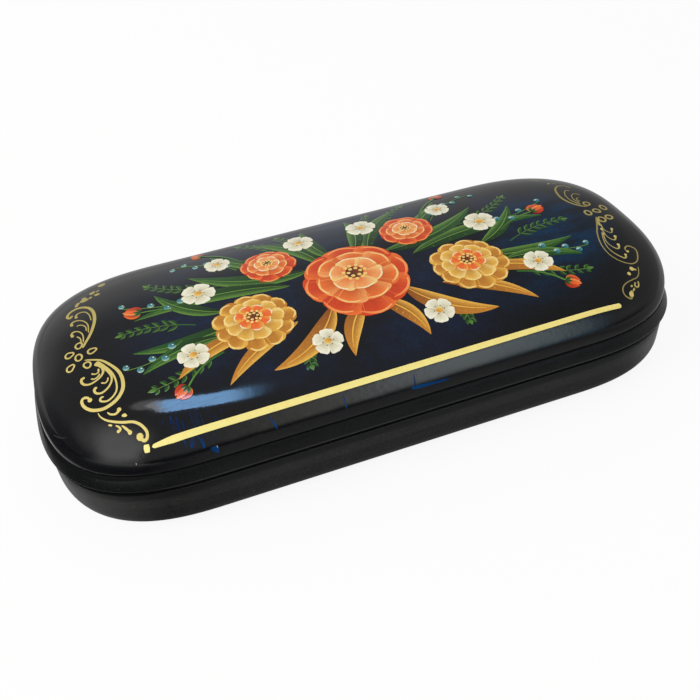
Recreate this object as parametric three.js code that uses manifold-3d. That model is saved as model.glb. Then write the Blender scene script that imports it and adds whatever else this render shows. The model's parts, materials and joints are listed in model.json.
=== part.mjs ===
// A hard spectacle case: a lacquered dome on a satin lid rim, hinged at the back to a satin base.
// Millimetres, +Z up. X runs along the case, the hinge is at the back (+Y), and the case is shut.
import * as THREE from 'three';
import { mergeVertices } from 'three/addons/utils/BufferGeometryUtils.js';
import Module from 'manifold-3d';

const wasm = await Module();
wasm.setup();

// Plan of the case, at the foot of the lid rim, where it is largest
const caseLength = 160;
const caseWidth = 71.6;
const endLength = 36.5; // each rounded end, between the straight sides and the tip
const endRoundness = 2.73; // exponent of the rounded ends: 2 is an ellipse, more is squarer

// Seam between lid and base
const seamHeight = 14;
const seamGap = 0.4;
const wallDepth = 3.4; // from the plan's edge to the flush inner faces of the rim and the base wall

// Lid rim, the band that the dome is glued to
const rimHeight = 3.45;
const rimLean = 1.2; // how far the band's top edge lies inside its foot
const rimEdgeRound = 0.35;

// Lid dome
const domeStep = 0.2; // how far the dome's edge lies inside the band's top edge
const domeRise = 12;
const domeWall = 2.2;
const domeEdgeRound = 0.5;
const domeCrossPower = 2.4; // exponent of the section across the case
const domeLengthPower = 12; // exponent of the section along it, which stays flat nearly to the ends

// Base
const baseSetIn = 0.6; // how far the base wall lies inside the lid rim's foot
const baseFloor = 2.6;
const baseEdgeRound = 0.9;
const footRadius = 5.2;
const insideRadius = 3;

// Collar inside the base wall, which stands up into the lid rim and keeps the lid in place
const collarWall = 1.2;
const collarStand = 2;
const collarDepth = 7;
const collarClearance = 0.3;

// Velvet: a skin inside the lid, a skin on the base wall and a crowned pad on the floor
const velvet = 0.8;
const liningDrop = 0.5; // from the seam down to the wall lining's top edge
const padThickness = 2;
const padCrown = 0.8;
const padEdgeRound = 0.9;
const padShoulder = 4; // how far in from its edge the pad has half its crown
const padClearance = 0.3;

// Hinge: two folded leaves, a pin, and a snap spring that bears on one knuckle of the lid's leaf
const hingeLength = 72;
const knuckleCount = 7;
const knuckleGap = 0.3;
const barrelRadius = 1.5;
const pinRadius = 0.75;
const pinClearance = 0.1;
const pinChamfer = 0.2;
const pinEnd = 0.6; // how far the pin shows at each end of the barrel
const leafThickness = 0.5;
const leafGap = 0.2; // between the two leaves where they lie on each other in the seam
const leafMargin = 0.3; // from the lid leaf's top edge to the top of the rim
const baseLeafHeight = 6;
const runningGap = 0.3; // round everything that turns
const springThickness = 0.35;
const springWidth = 26;
const springHeight = 4;
const tongueWidth = 7;
const camDepth = 0.25; // flat on that knuckle, which the spring's tongue snaps against

// Brads that hold the leaves, driven from inside
const bradCount = 4;
const bradEnd = 9; // from each end of the hinge to its outer brads
const bradDrop = 3.6; // from the hinge line down to the base brads
const bradShankRadius = 0.45;
const bradLength = 2.4;
const bradHeadRadius = 0.95;
const bradHeadHeight = 0.4;
const bradClearance = 0.15;

// Glued pieces keep this joint between them
const glueGap = 0.2;

// How finely curves are divided
const endSteps = 14;
const domeSteps = 9;
const arcSteps = 4;
const roundSides = 16;
const bradSides = 10;

// Levels and insets that follow from the sizes above
const lidFoot = seamHeight + seamGap / 2;
const rimTop = lidFoot + rimHeight;
const domeFoot = rimTop + glueGap;
const domeInset = rimLean + domeStep;
const baseTop = seamHeight - seamGap / 2;
const collarInset = wallDepth + collarClearance;
const hingeLine = caseWidth / 2;
const leafInset = wallDepth + glueGap;
const leafFace = leafInset + leafThickness;
const springFace = leafFace + bradClearance + springThickness;
const bradFace = springFace + bradClearance + bradHeadHeight;
const liningInset = Math.max(collarInset + collarWall, bradFace) + glueGap;
const padInset = liningInset + velvet + padClearance;
const webTop = leafGap / 2 + leafThickness;
const lidLeafHeight = seamGap / 2 + rimHeight - leafMargin;
const lidBradRise = (webTop + glueGap + seamGap / 2 + rimHeight) / 2;
const knucklePitch = hingeLength / knuckleCount;
const snapKnuckle = 2 * Math.floor((knuckleCount - 1) / 4) + 1; // the lid knuckle nearest the middle

// Outline of the case in plan, counter-clockwise: straight sides and superelliptic ends
function planOutline(inset) {
  const straightHalf = caseLength / 2 - endLength;
  const endReach = endLength - inset;
  const halfWidth = caseWidth / 2 - inset;
  const power = 2 / endRoundness;
  const corner = [];
  for (let step = 0; step <= endSteps; step++) {
    const turn = (step / endSteps) * (Math.PI / 2);
    const along = straightHalf + endReach * Math.cos(turn) ** power;
    corner.push([along, halfWidth * Math.sin(turn) ** power]);
  }
  const back = [...corner, ...corner.toReversed().map(([x, y]) => [-x, y])];
  const front = back.slice(1, -1).toReversed().map(([x, y]) => [x, -y]);
  return [...back, ...front];
}

function ring(inset, height, shrinkX = 1, shrinkY = 1) {
  return planOutline(inset).map(([x, y]) => new THREE.Vector3(x * shrinkX, y * shrinkY, height));
}

// A closed solid through a row of rings: joined end to end, or closed by a fan at each end.
// Rings run up the outside, inwards over the top and down the inside.
function loft(rings, fanHeights) {
  const count = rings[0].length;
  const positions = rings.flat().flatMap((point) => point.toArray());
  const triangles = [];
  const bands = fanHeights ? rings.length - 1 : rings.length;
  for (let band = 0; band < bands; band++) {
    const lower = band * count;
    const upper = ((band + 1) % rings.length) * count;
    for (let i = 0; i < count; i++) {
      const next = (i + 1) % count;
      triangles.push(lower + i, lower + next, upper + next);
      triangles.push(lower + i, upper + next, upper + i);
    }
  }
  if (fanHeights) {
    const first = rings.length * count;
    const last = first + 1;
    const lastRing = (rings.length - 1) * count;
    positions.push(0, 0, fanHeights[0], 0, 0, fanHeights[1]);
    for (let i = 0; i < count; i++) {
      const next = (i + 1) % count;
      triangles.push(first, next, i);
      triangles.push(last, lastRing + i, lastRing + next);
    }
  }
  const geometry = new THREE.BufferGeometry();
  geometry.setAttribute('position', new THREE.Float32BufferAttribute(positions, 3));
  geometry.setIndex(triangles);
  return geometry;
}

// Rings of one quarter-round edge, from a start angle to an end angle round a centre
function roundedEdge(centreInset, centreHeight, radius, startAngle, endAngle) {
  const rings = [];
  for (let step = 0; step <= arcSteps; step++) {
    const angle = startAngle + ((endAngle - startAngle) * step) / arcSteps;
    rings.push(ring(centreInset - radius * Math.cos(angle), centreHeight + radius * Math.sin(angle)));
  }
  return rings;
}

// Rings of the dome, from its edge to near its crown, on a surface that lies deeper than the outside
function domeRings(depth, edgeHeight) {
  const rise = domeFoot + domeRise - depth - edgeHeight;
  const rings = [];
  for (let step = 0; step < domeSteps; step++) {
    const turn = (step / domeSteps) * (Math.PI / 2);
    const shrinkX = Math.cos(turn) ** (2 / domeLengthPower);
    const shrinkY = Math.cos(turn) ** (2 / domeCrossPower);
    const height = edgeHeight + rise * Math.sin(turn) ** (2 / domeCrossPower);
    rings.push(ring(domeInset + depth, height, shrinkX, shrinkY));
  }
  return rings;
}

function domeCrown(depth) {
  return domeFoot + domeRise - depth;
}

// Booleans
function solidOf(geometry) {
  const bare = geometry.clone();
  bare.deleteAttribute('normal');
  bare.deleteAttribute('uv');
  const merged = mergeVertices(bare);
  const vertProperties = new Float32Array(merged.attributes.position.array);
  const triVerts = new Uint32Array(merged.index.array);
  return new wasm.Manifold(new wasm.Mesh({ numProp: 3, vertProperties, triVerts }));
}

function geometryOf(solid) {
  const mesh = solid.getMesh();
  const geometry = new THREE.BufferGeometry();
  geometry.setAttribute('position', new THREE.Float32BufferAttribute(mesh.vertProperties, 3));
  geometry.setIndex(new THREE.Uint32BufferAttribute(mesh.triVerts, 1));
  return geometry;
}

function cut(geometry, cutters) {
  return geometryOf(cutters.reduce((solid, cutter) => solid.subtract(solidOf(cutter)), solidOf(geometry)));
}

function join(geometries) {
  return geometryOf(geometries.map(solidOf).reduce((whole, solid) => whole.add(solid)));
}

function boxBetween(low, high) {
  const size = high.map((value, axis) => value - low[axis]);
  const middle = high.map((value, axis) => (value + low[axis]) / 2);
  return new THREE.BoxGeometry(...size).translate(...middle);
}

// A round bar along the hinge line, which is the X axis of the hinge's own frame
function barAlongHinge(radius, from, to) {
  const bar = new THREE.CylinderGeometry(radius, radius, to - from, roundSides);
  return bar.rotateZ(Math.PI / 2).translate((from + to) / 2, 0, 0);
}

// Lid
function lidRim() {
  const profile = [
    [rimEdgeRound, lidFoot],
    [0, lidFoot + rimEdgeRound],
    [rimLean, rimTop - rimEdgeRound],
    [rimLean + rimEdgeRound, rimTop],
    [wallDepth, rimTop],
    [wallDepth, lidFoot],
  ];
  return loft(profile.map(([inset, height]) => ring(inset, height)));
}

function lidDome() {
  const outside = [ring(domeInset + domeEdgeRound, domeFoot), ...domeRings(0, domeFoot + domeEdgeRound)];
  const inside = domeRings(domeWall, domeFoot).toReversed();
  return loft([...inside, ...outside], [domeCrown(domeWall), domeCrown(0)]);
}

function lidLining() {
  const outerDepth = domeWall + glueGap;
  const innerDepth = outerDepth + velvet;
  const outside = domeRings(outerDepth, domeFoot);
  const inside = domeRings(innerDepth, domeFoot).toReversed();
  return loft([...inside, ...outside], [domeCrown(innerDepth), domeCrown(outerDepth)]);
}

// Base
function baseShell() {
  const quarter = Math.PI / 2;
  const foot = roundedEdge(baseSetIn + footRadius, footRadius, footRadius, -quarter, 0);
  const edge = roundedEdge(baseSetIn + baseEdgeRound, baseTop - baseEdgeRound, baseEdgeRound, 0, quarter);
  const wall = ring(wallDepth, baseTop);
  const inside = roundedEdge(wallDepth + insideRadius, baseFloor + insideRadius, insideRadius, 0, -quarter);
  return loft([...foot, ...edge, wall, ...inside], [0, baseFloor]);
}

function baseCollar() {
  const low = seamHeight - collarDepth;
  const high = seamHeight + collarStand;
  const inner = collarInset + collarWall;
  const tube = loft([ring(collarInset, low), ring(collarInset, high), ring(inner, high), ring(inner, low)]);
  const gapHalf = hingeLength / 2 + pinEnd + runningGap;
  return cut(tube, [boxBetween([-gapHalf, 0, 0], [gapHalf, caseWidth, 2 * seamHeight])]);
}

// Height of the base's inside surface at an inset, on the round between wall and floor
function insideHeight(inset) {
  const toCentre = Math.max(wallDepth + insideRadius - inset, 0);
  return baseFloor + insideRadius - Math.sqrt(insideRadius ** 2 - toCentre ** 2);
}

function baseLining() {
  const low = insideHeight(liningInset) + glueGap;
  const high = baseTop - liningDrop;
  const inner = liningInset + velvet;
  return loft([ring(liningInset, low), ring(liningInset, high), ring(inner, high), ring(inner, low)]);
}

function basePad() {
  const low = baseFloor + glueGap;
  const side = low + padThickness - padEdgeRound;
  const edge = roundedEdge(padInset + padEdgeRound, side, padEdgeRound, 0, Math.PI / 2);
  const shoulder = ring(padInset + padShoulder, low + padThickness + padCrown / 2);
  return loft([ring(padInset, low), ...edge, shoulder], [low, low + padThickness + padCrown]);
}

// Hinge, in its own frame: X along the pin, -Y into the case, the lid side up
function knuckleSpan(index) {
  const start = -hingeLength / 2 + index * knucklePitch;
  return [start + knuckleGap / 2, start + knucklePitch - knuckleGap / 2];
}

function bradPlaces() {
  const first = bradEnd - hingeLength / 2;
  const spacing = (hingeLength - 2 * bradEnd) / (bradCount - 1);
  return Array.from({ length: bradCount }, (_, index) => first + index * spacing);
}

function bradHoles(height) {
  const bottom = bradLength - leafFace;
  const mouth = -2 * leafFace;
  const radius = bradShankRadius + bradClearance;
  const hole = new THREE.CylinderGeometry(radius, radius, bottom - mouth, bradSides);
  return bradPlaces().map((x) => hole.clone().translate(x, (bottom + mouth) / 2, height));
}

// One leaf: knuckles round the pin, a web through the seam and a flange on the inner face.
// Side is 1 for the lid's leaf and -1 for the base's.
function hingeLeaf(side, height, bradHeight) {
  const end = hingeLength / 2 - knuckleGap / 2;
  const span = (from, to) => [Math.min(side * from, side * to), Math.max(side * from, side * to)];
  const [webBottom, webUpper] = span(leafGap / 2, webTop);
  const [flangeBottom, flangeUpper] = span(leafGap / 2, height);
  const webStart = barrelRadius + runningGap;
  const pieces = [
    boxBetween([-end, -leafFace, webBottom], [end, -webStart, webUpper]),
    boxBetween([-end, -leafFace, flangeBottom], [end, -leafInset, flangeUpper]),
  ];
  for (let index = side > 0 ? 1 : 0; index < knuckleCount; index += 2) {
    const [from, to] = knuckleSpan(index);
    pieces.push(barAlongHinge(barrelRadius, from, to));
    pieces.push(boxBetween([from, -webStart - leafThickness, webBottom], [to, 0, webUpper]));
  }
  const bore = barAlongHinge(pinRadius + pinClearance, -hingeLength, hingeLength);
  return cut(join(pieces), [bore, ...bradHoles(bradHeight)]);
}

function lidLeaf() {
  const leaf = hingeLeaf(1, lidLeafHeight, lidBradRise);
  const [from, to] = knuckleSpan(snapKnuckle);
  const flat = boxBetween([from, -2 * barrelRadius, -2 * barrelRadius], [to, camDepth - barrelRadius, 0]);
  return cut(leaf, [flat]);
}

function tongueSpan(clearance) {
  const [from, to] = knuckleSpan(snapKnuckle);
  const middle = (from + to) / 2;
  return [middle - tongueWidth / 2 - clearance, middle + tongueWidth / 2 + clearance];
}

function baseLeaf() {
  const leaf = hingeLeaf(-1, baseLeafHeight, -bradDrop);
  const [from, to] = tongueSpan(runningGap);
  const below = -webTop - runningGap;
  return cut(leaf, [boxBetween([from, -2 * leafFace, below], [to, 0, leafGap])]);
}

// The spring: a plate under the middle brads, with a tongue over the leaf to the snap knuckle
function snapSpring() {
  const [from, to] = tongueSpan(0);
  const near = springThickness - springFace;
  const far = -springFace;
  const tongueLow = -webTop;
  const tongueHigh = tongueLow + springThickness;
  const plateLow = -bradDrop - springHeight / 2;
  const plateHigh = plateLow + springHeight;
  const reach = -barrelRadius - runningGap;
  const pieces = [
    boxBetween([-springWidth / 2, far, plateLow], [springWidth / 2, near, plateHigh]),
    boxBetween([from, far, plateLow], [to, near, tongueHigh]),
    boxBetween([from, far, tongueLow], [to, reach, tongueHigh]),
  ];
  return cut(join(pieces), bradHoles(-bradDrop));
}

function hingePin() {
  const end = hingeLength / 2 + pinEnd;
  const profile = [
    [0, -end],
    [pinRadius - pinChamfer, -end],
    [pinRadius, pinChamfer - end],
    [pinRadius, end - pinChamfer],
    [pinRadius - pinChamfer, end],
    [0, end],
  ];
  const points = profile.map(([x, y]) => new THREE.Vector2(x, y));
  return new THREE.LatheGeometry(points, roundSides).rotateZ(Math.PI / 2);
}

// A brad with its shank along +Y and its head below the origin
function brad() {
  const headRim = bradHeadHeight / 2;
  const profile = [
    [0, -bradHeadHeight],
    [bradHeadRadius - headRim, -bradHeadHeight],
    [bradHeadRadius, -headRim],
    [bradHeadRadius, 0],
    [bradShankRadius, 0],
    [bradShankRadius, bradLength - bradShankRadius],
    [0, bradLength],
  ];
  return new THREE.LatheGeometry(profile.map(([x, y]) => new THREE.Vector2(x, y)), bradSides);
}

// Room for the hinge in the rim and the base wall: a rebate for the web, a groove round the barrel
// and the brads' holes
function hingeRoom(bradHeight) {
  const end = hingeLength / 2 + pinEnd + runningGap;
  const rebate = webTop + glueGap;
  const depth = 2 * leafFace;
  const cutters = [
    boxBetween([-end, -depth, -rebate], [end, depth, rebate]),
    barAlongHinge(barrelRadius + runningGap, -end, end),
    ...bradHoles(bradHeight),
  ];
  return cutters.map((cutter) => cutter.translate(0, hingeLine, seamHeight));
}

// Finishes
function finish(color, roughness, metalness = 0) {
  return new THREE.MeshStandardMaterial({ color, roughness, metalness });
}

const lacquer = () => finish(0x06080f, 0.12);
const satinBlack = () => finish(0x17181a, 0.45);
const redVelvet = () => finish(0x5c1016, 0.95);
const brass = () => finish(0xb08a42, 0.35, 1);
const springSteel = () => finish(0x8c9196, 0.3, 1);

function piece(name, geometry, material) {
  const mesh = new THREE.Mesh(geometry, material);
  mesh.name = name;
  return mesh;
}

const lid = new THREE.Group();
lid.add(
  piece('lid_dome', lidDome(), lacquer()),
  piece('lid_rim', cut(lidRim(), hingeRoom(lidBradRise)), satinBlack()),
  piece('lid_lining', lidLining(), redVelvet()),
);

const base = new THREE.Group();
base.add(
  piece('base_shell', cut(baseShell(), hingeRoom(-bradDrop)), satinBlack()),
  piece('base_collar', baseCollar(), satinBlack()),
  piece('base_lining', baseLining(), redVelvet()),
  piece('base_pad', basePad(), redVelvet()),
);

const hinge = new THREE.Group();
hinge.position.set(0, hingeLine, seamHeight);
hinge.add(
  piece('hinge_leaf_lid', lidLeaf(), brass()),
  piece('hinge_leaf_base', baseLeaf(), brass()),
  piece('hinge_pin', hingePin(), brass()),
  piece('hinge_spring', snapSpring(), springSteel()),
);
bradPlaces().forEach((x, index) => {
  const seat = Math.abs(x) < springWidth / 2 ? springFace : leafFace;
  const lidBrad = piece(`lid_brad_${index + 1}`, brad(), brass());
  lidBrad.position.set(x, -leafFace - bradClearance, lidBradRise);
  const baseBrad = piece(`base_brad_${index + 1}`, brad(), brass());
  baseBrad.position.set(x, -seat - bradClearance, -bradDrop);
  hinge.add(lidBrad, baseBrad);
});

// The origin is under the middle of the case's box, whose back face is the hinge barrel
const spectacleCase = new THREE.Group();
spectacleCase.position.y = -barrelRadius / 2;
spectacleCase.add(lid, base, hinge);

export default spectacleCase;
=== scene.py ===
import json
import math
import random

import bmesh
import bpy
import numpy as np
from mathutils import Matrix, Vector


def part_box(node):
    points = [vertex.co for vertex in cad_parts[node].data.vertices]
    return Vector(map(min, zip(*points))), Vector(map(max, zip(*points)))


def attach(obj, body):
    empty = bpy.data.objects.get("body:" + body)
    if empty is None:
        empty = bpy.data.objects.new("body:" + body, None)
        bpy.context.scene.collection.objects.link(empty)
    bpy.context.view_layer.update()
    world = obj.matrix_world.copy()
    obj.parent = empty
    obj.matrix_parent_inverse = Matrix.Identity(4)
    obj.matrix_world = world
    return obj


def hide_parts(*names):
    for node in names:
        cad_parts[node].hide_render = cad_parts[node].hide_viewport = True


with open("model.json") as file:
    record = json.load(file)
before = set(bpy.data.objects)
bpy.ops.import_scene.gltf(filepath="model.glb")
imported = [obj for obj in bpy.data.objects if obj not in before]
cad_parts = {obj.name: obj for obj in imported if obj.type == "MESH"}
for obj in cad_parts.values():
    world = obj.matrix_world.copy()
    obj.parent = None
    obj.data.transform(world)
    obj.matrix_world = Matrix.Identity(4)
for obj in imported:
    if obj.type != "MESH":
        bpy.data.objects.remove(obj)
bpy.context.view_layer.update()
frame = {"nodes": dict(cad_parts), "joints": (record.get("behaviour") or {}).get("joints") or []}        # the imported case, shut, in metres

mm = 0.001
print("frame loaded:", len(frame["nodes"]), "nodes")


def linked(name, data):
    thing = bpy.data.objects.new(name, data)
    bpy.context.scene.collection.objects.link(thing)
    return thing


# Camera, where the photograph was taken from

cameraSet = {
    "place": (-49.455 * mm, -154.268 * mm, 150.188 * mm),
    "aim": (-5.677 * mm, -11.167 * mm, 15.0 * mm),
    "rollDegrees": -4.3555,
    "lens": 42.6133,  # mm
    "sensor": 36,  # mm
    "nearest": 5 * mm,
}


def makeCamera():
    place, aim = Vector(cameraSet["place"]), Vector(cameraSet["aim"])
    forward = (aim - place).normalized()
    right = forward.cross(Vector((0, 0, 1))).normalized()
    up = right.cross(forward)
    roll = math.radians(cameraSet["rollDegrees"])
    across = math.cos(roll) * right + math.sin(roll) * up
    upright = math.cos(roll) * up - math.sin(roll) * right
    camera = linked("camera", bpy.data.cameras.new("camera"))
    camera.data.lens = cameraSet["lens"]
    camera.data.sensor_width = cameraSet["sensor"]
    camera.data.clip_start = cameraSet["nearest"]
    turn = Matrix((across, upright, -forward)).transposed().to_4x4()
    camera.matrix_world = Matrix.Translation(place) @ turn
    bpy.context.scene.camera = camera


makeCamera()
print("camera placed")


# Shader sheets: a wire is one socket of a node tree, and sums on wires add Math nodes

def bothWays(operation):  # an operator and its reflected form
    def forward(wire, other):
        return wire.sum(operation, wire, other)

    def reflected(wire, other):
        return wire.sum(operation, other, wire)

    return forward, reflected


class Wire:
    def __init__(self, tree, socket=None):
        self.tree = tree
        self.socket = socket

    def feed(self, target, value):
        if isinstance(value, Wire):
            self.tree.links.new(value.socket, target)
        else:
            isColour = hasattr(target.default_value, "__len__") and len(target.default_value) == 4
            target.default_value = (*value, 1) if isColour else value

    def make(self, kind, settings, sockets, output=0):
        node = self.tree.nodes.new("ShaderNode" + kind)
        for name, value in settings.items():
            setattr(node, name, value)
        for name, value in sockets.items():
            self.feed(node.inputs[name], value)
        return Wire(self.tree, node.outputs[output])

    def into(self, kind):  # ends the tree in an output node
        self.tree.links.new(self.socket, self.tree.nodes.new("ShaderNode" + kind).inputs["Surface"])

    def sum(self, operation, first, second=0.0):
        return self.make("Math", {"operation": operation}, {0: first, 1: second})

    __add__, __radd__ = bothWays("ADD")
    __sub__, __rsub__ = bothWays("SUBTRACT")
    __mul__, __rmul__ = bothWays("MULTIPLY")
    __truediv__, __rtruediv__ = bothWays("DIVIDE")
    __pow__, __rpow__ = bothWays("POWER")

    def __neg__(self):
        return self * -1

    def __abs__(self):
        return self.sum("ABSOLUTE", self)

    def largest(self, other):
        return self.sum("MAXIMUM", self, other)

    def between(self, low, high):  # 0 at low, 1 at high, smooth in between
        sockets = {"Value": self, "From Min": low, "From Max": high}
        return self.make("MapRange", {"interpolation_type": "SMOOTHSTEP"}, sockets)

    def within(self, low, full, ebb, end):  # rises between the first two and falls between the last two
        return self.between(low, full) * (1 - self.between(ebb, end))

    def blend(self, share, first, second, how="MIX"):  # colours
        settings = {"data_type": "RGBA", "blend_type": how}
        return self.make("Mix", settings, {0: share, 6: first, 7: second}, 2)

    def grey(self, level):
        return self.make("CombineColor", {}, {0: level, 1: level, 2: level})

    def brushed(self):  # the paint of a stroke, point by point
        return self.make("VertexColor", {"layer_name": "brushed"}, {})

    def place(self, unit=1.0):  # on the piece, in units of so many metres
        here = self.make("TexCoord", {}, {}, "Object")
        return here if unit == 1 else self.stretched(here, 1 / unit, 1 / unit, 1 / unit)

    def axes(self, place, names="XYZ"):
        return [self.make("SeparateXYZ", {}, {0: place}, name) for name in names]

    def stretched(self, place, x, y, z):
        return self.make("VectorMath", {"operation": "MULTIPLY"}, {0: place, 1: (x, y, z)})

    def noise(self, place, scale, detail=4.0, roughness=0.55, distortion=0.0):
        sockets = {"Vector": place, "Scale": scale, "Detail": detail,
                   "Roughness": roughness, "Distortion": distortion}
        return self.make("TexNoise", {}, sockets)

    def bump(self, height, strength, distance, under=None):
        sockets = {"Height": height, "Strength": strength, "Distance": distance}
        if under is not None:
            sockets["Normal"] = under
        return self.make("Bump", {}, sockets)


def blankSheet(owner):  # of a material or of the world
    owner.use_nodes = True
    owner.node_tree.nodes.clear()
    return Wire(owner.node_tree)


def newFinish(name):
    material = bpy.data.materials.new(name)
    return material, blankSheet(material)


# The finish of a piece: its look gives the shader's sockets, at places in millimetres
def finished(name, look, *settings):
    material, sheet = newFinish(name)
    sockets = look(sheet, sheet.place(mm), *settings)
    sheet.make("BsdfPrincipled", {}, sockets).into("OutputMaterial")
    return material


# Lacquer of the dome: near black, with navy clouds under the gloss. Places and lengths are in mm.

lacquerSet = {
    "black": (0.0050, 0.0052, 0.0064),
    "navy": (0.0055, 0.0145, 0.046),
    "bright": (0.0, 0.031, 0.086),
    "run": (0.002, 0.016, 0.075),
    # pale colour of the painted highlight along the dome's lip at the two ends
    "worn": (0.05, 0.05, 0.048),
    "cloudSize": 26.0,
    "cloudReach": (64, 36),  # along and across
    # brighter blue: place and reach along and across, and its share
    "patches": [(51.0, -3.0, 19.0, 22.0, 0.88), (4.0, 17.0, 34.0, 11.0, 0.5),
                (42.0, -16.0, 24.0, 14.0, 0.3), (-42.0, -11.0, 20.0, 13.0, 0.1)],
    "streakX": -47.5,  # runs of blue at the front: their middle, reach and band
    "streakReach": (1.5, 6.0),
    "streakBand": (-34.5, -33.5, -27.5, -25.5),
    "roughness": 0.055,
    "smudge": 0.05,
    "haze": 0.09,  # more roughness along the front shoulder
    "hazeAlong": (-45, 5),
    "hazeAcross": (-33.3, -31.8),
    "grain": 0.4,  # share by which the tone flickers
    "shoulder": (-33, -30),  # in front of this the surface is more wavy
    "shoulderWave": 10.0,
    "lip": (21.2, 23.0),  # heights between which the waves of the edge die out
    "lipWave": 7.0,
    "wear": (18.05, 18.4),  # heights between which the painted highlight along the lip of the two ends fades
    "wearAlong": (58, 70),
    "wearLess": 0.5,  # at the right
}


def lacquerLook(sheet, place):
    x, y, z = sheet.axes(place)

    def spot(midX, midY, along, across, core):
        return 1 - (((x - midX) / along) ** 2 + ((y - midY) / across) ** 2).between(core, 1.0)

    cloud = sheet.noise(place, 1 / lacquerSet["cloudSize"], 5, 0.6, 0.4).between(0.3, 0.6)
    mottle = sheet.noise(place, 0.35, 3).between(0.35, 0.7)
    navy = cloud * spot(0, 0, *lacquerSet["cloudReach"], 0.45) * (0.55 + 0.45 * mottle)
    colour = sheet.blend(navy, lacquerSet["black"], lacquerSet["navy"])
    brush = sheet.noise(sheet.stretched(place, 0.1, 0.26, 0.26), 1.0).between(0.35, 0.65)
    for *patch, share in lacquerSet["patches"]:
        bright = share * spot(*patch, 0.1) * (0.2 + 0.8 * brush)
        colour = sheet.blend(bright, colour, lacquerSet["bright"])
    streak = sheet.noise(sheet.stretched(place, 2.0, 0.12, 0.12), 1.0).between(0.45, 0.75)
    streak = streak * y.within(*lacquerSet["streakBand"])
    streak = streak * (1 - abs(x - lacquerSet["streakX"]).between(*lacquerSet["streakReach"]))
    colour = sheet.blend(streak, colour, lacquerSet["run"])
    grain = sheet.noise(place, 1.7, 2).between(0.25, 0.75)
    colour = sheet.blend(lacquerSet["grain"] * grain, colour, (0.0, 0.0, 0.0))
    # painted highlight: a pale line along the dome's lip at the two ends, half as strong at the right
    wear = abs(x).between(*lacquerSet["wearAlong"]) * (1 - lacquerSet["wearLess"] * x.between(0, 50))
    wear = wear * (1 - z.between(*lacquerSet["wear"]))
    colour = sheet.blend(wear, colour, lacquerSet["worn"])
    smudge = sheet.noise(place, 0.06, 5).between(0.4, 0.75)
    haze = x.between(*lacquerSet["hazeAlong"]) * (1 - y.between(*lacquerSet["hazeAcross"]))
    uneven = 1 + lacquerSet["shoulderWave"] * (1 - y.between(*lacquerSet["shoulder"]))
    rough = lacquerSet["roughness"] + lacquerSet["smudge"] * smudge + lacquerSet["haze"] * haze
    waves = sheet.bump(sheet.noise(place, 0.9, 2) * uneven, 0.012, 0.4 * mm)
    lipWave = sheet.noise(place, 1 / lacquerSet["lipWave"], 1) * (1 - z.between(*lacquerSet["lip"]))
    return {
        "Base Color": colour,
        "Roughness": rough,
        "Specular IOR Level": 0.5,
        "Normal": sheet.bump(lipWave, 0.6, 0.2 * mm, waves),
    }


# Satin blacks, in mm: the rim and the collar are smoother and blacker than the base

rimSatin = {
    "black": (0.0034, 0.0038, 0.0042),
    "worn": (0.0085, 0.0090, 0.0090),
    "roughness": 0.24,
    "grain": 0.07,
    "groove": (16.8, 17.4),  # heights above which it is plain black as painted shade under the dome's overhang: at the left end, and elsewhere
    "band": None,
    "edge": (14.55, 14.85),  # painted highlight below these heights, along the rim's lower edge
    "rightEnd": 0.4,  # share of the painted highlight on the right end
}
baseSatin = {
    "black": (0.0050, 0.0054, 0.0052),
    # paler tone for wear and grain, and for the painted highlight band
    "worn": (0.0215, 0.0220, 0.0208),
    "roughness": 0.38,
    "grain": 0.10,
    # heights above which the base's top is plain black as painted shade under the rim's overhang
    "groove": (12.35, 12.6),
    "band": (7.4, 8.4, 10.2, 11.4),  # heights between which a painted highlight band rises and falls; above it the top is painted darker, as shade under the rim
    "edge": None,
}
satinMarks = {
    # colour of the painted shade under the overhangs
    "groove": (0.0006, 0.0006, 0.0006),
    # colour of the painted highlight on the rim's lower edge and its right end
    "edge": (0.034, 0.034, 0.032),
    "speck": (0.09, 0.09, 0.085),
    "leftEnd": (50, 68),  # to the left
    # where the right end's painted highlight rises and the painted shade line weakens
    "rightEnd": (50, 72),
    "edgeAlong": (-64, -48),
}


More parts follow.
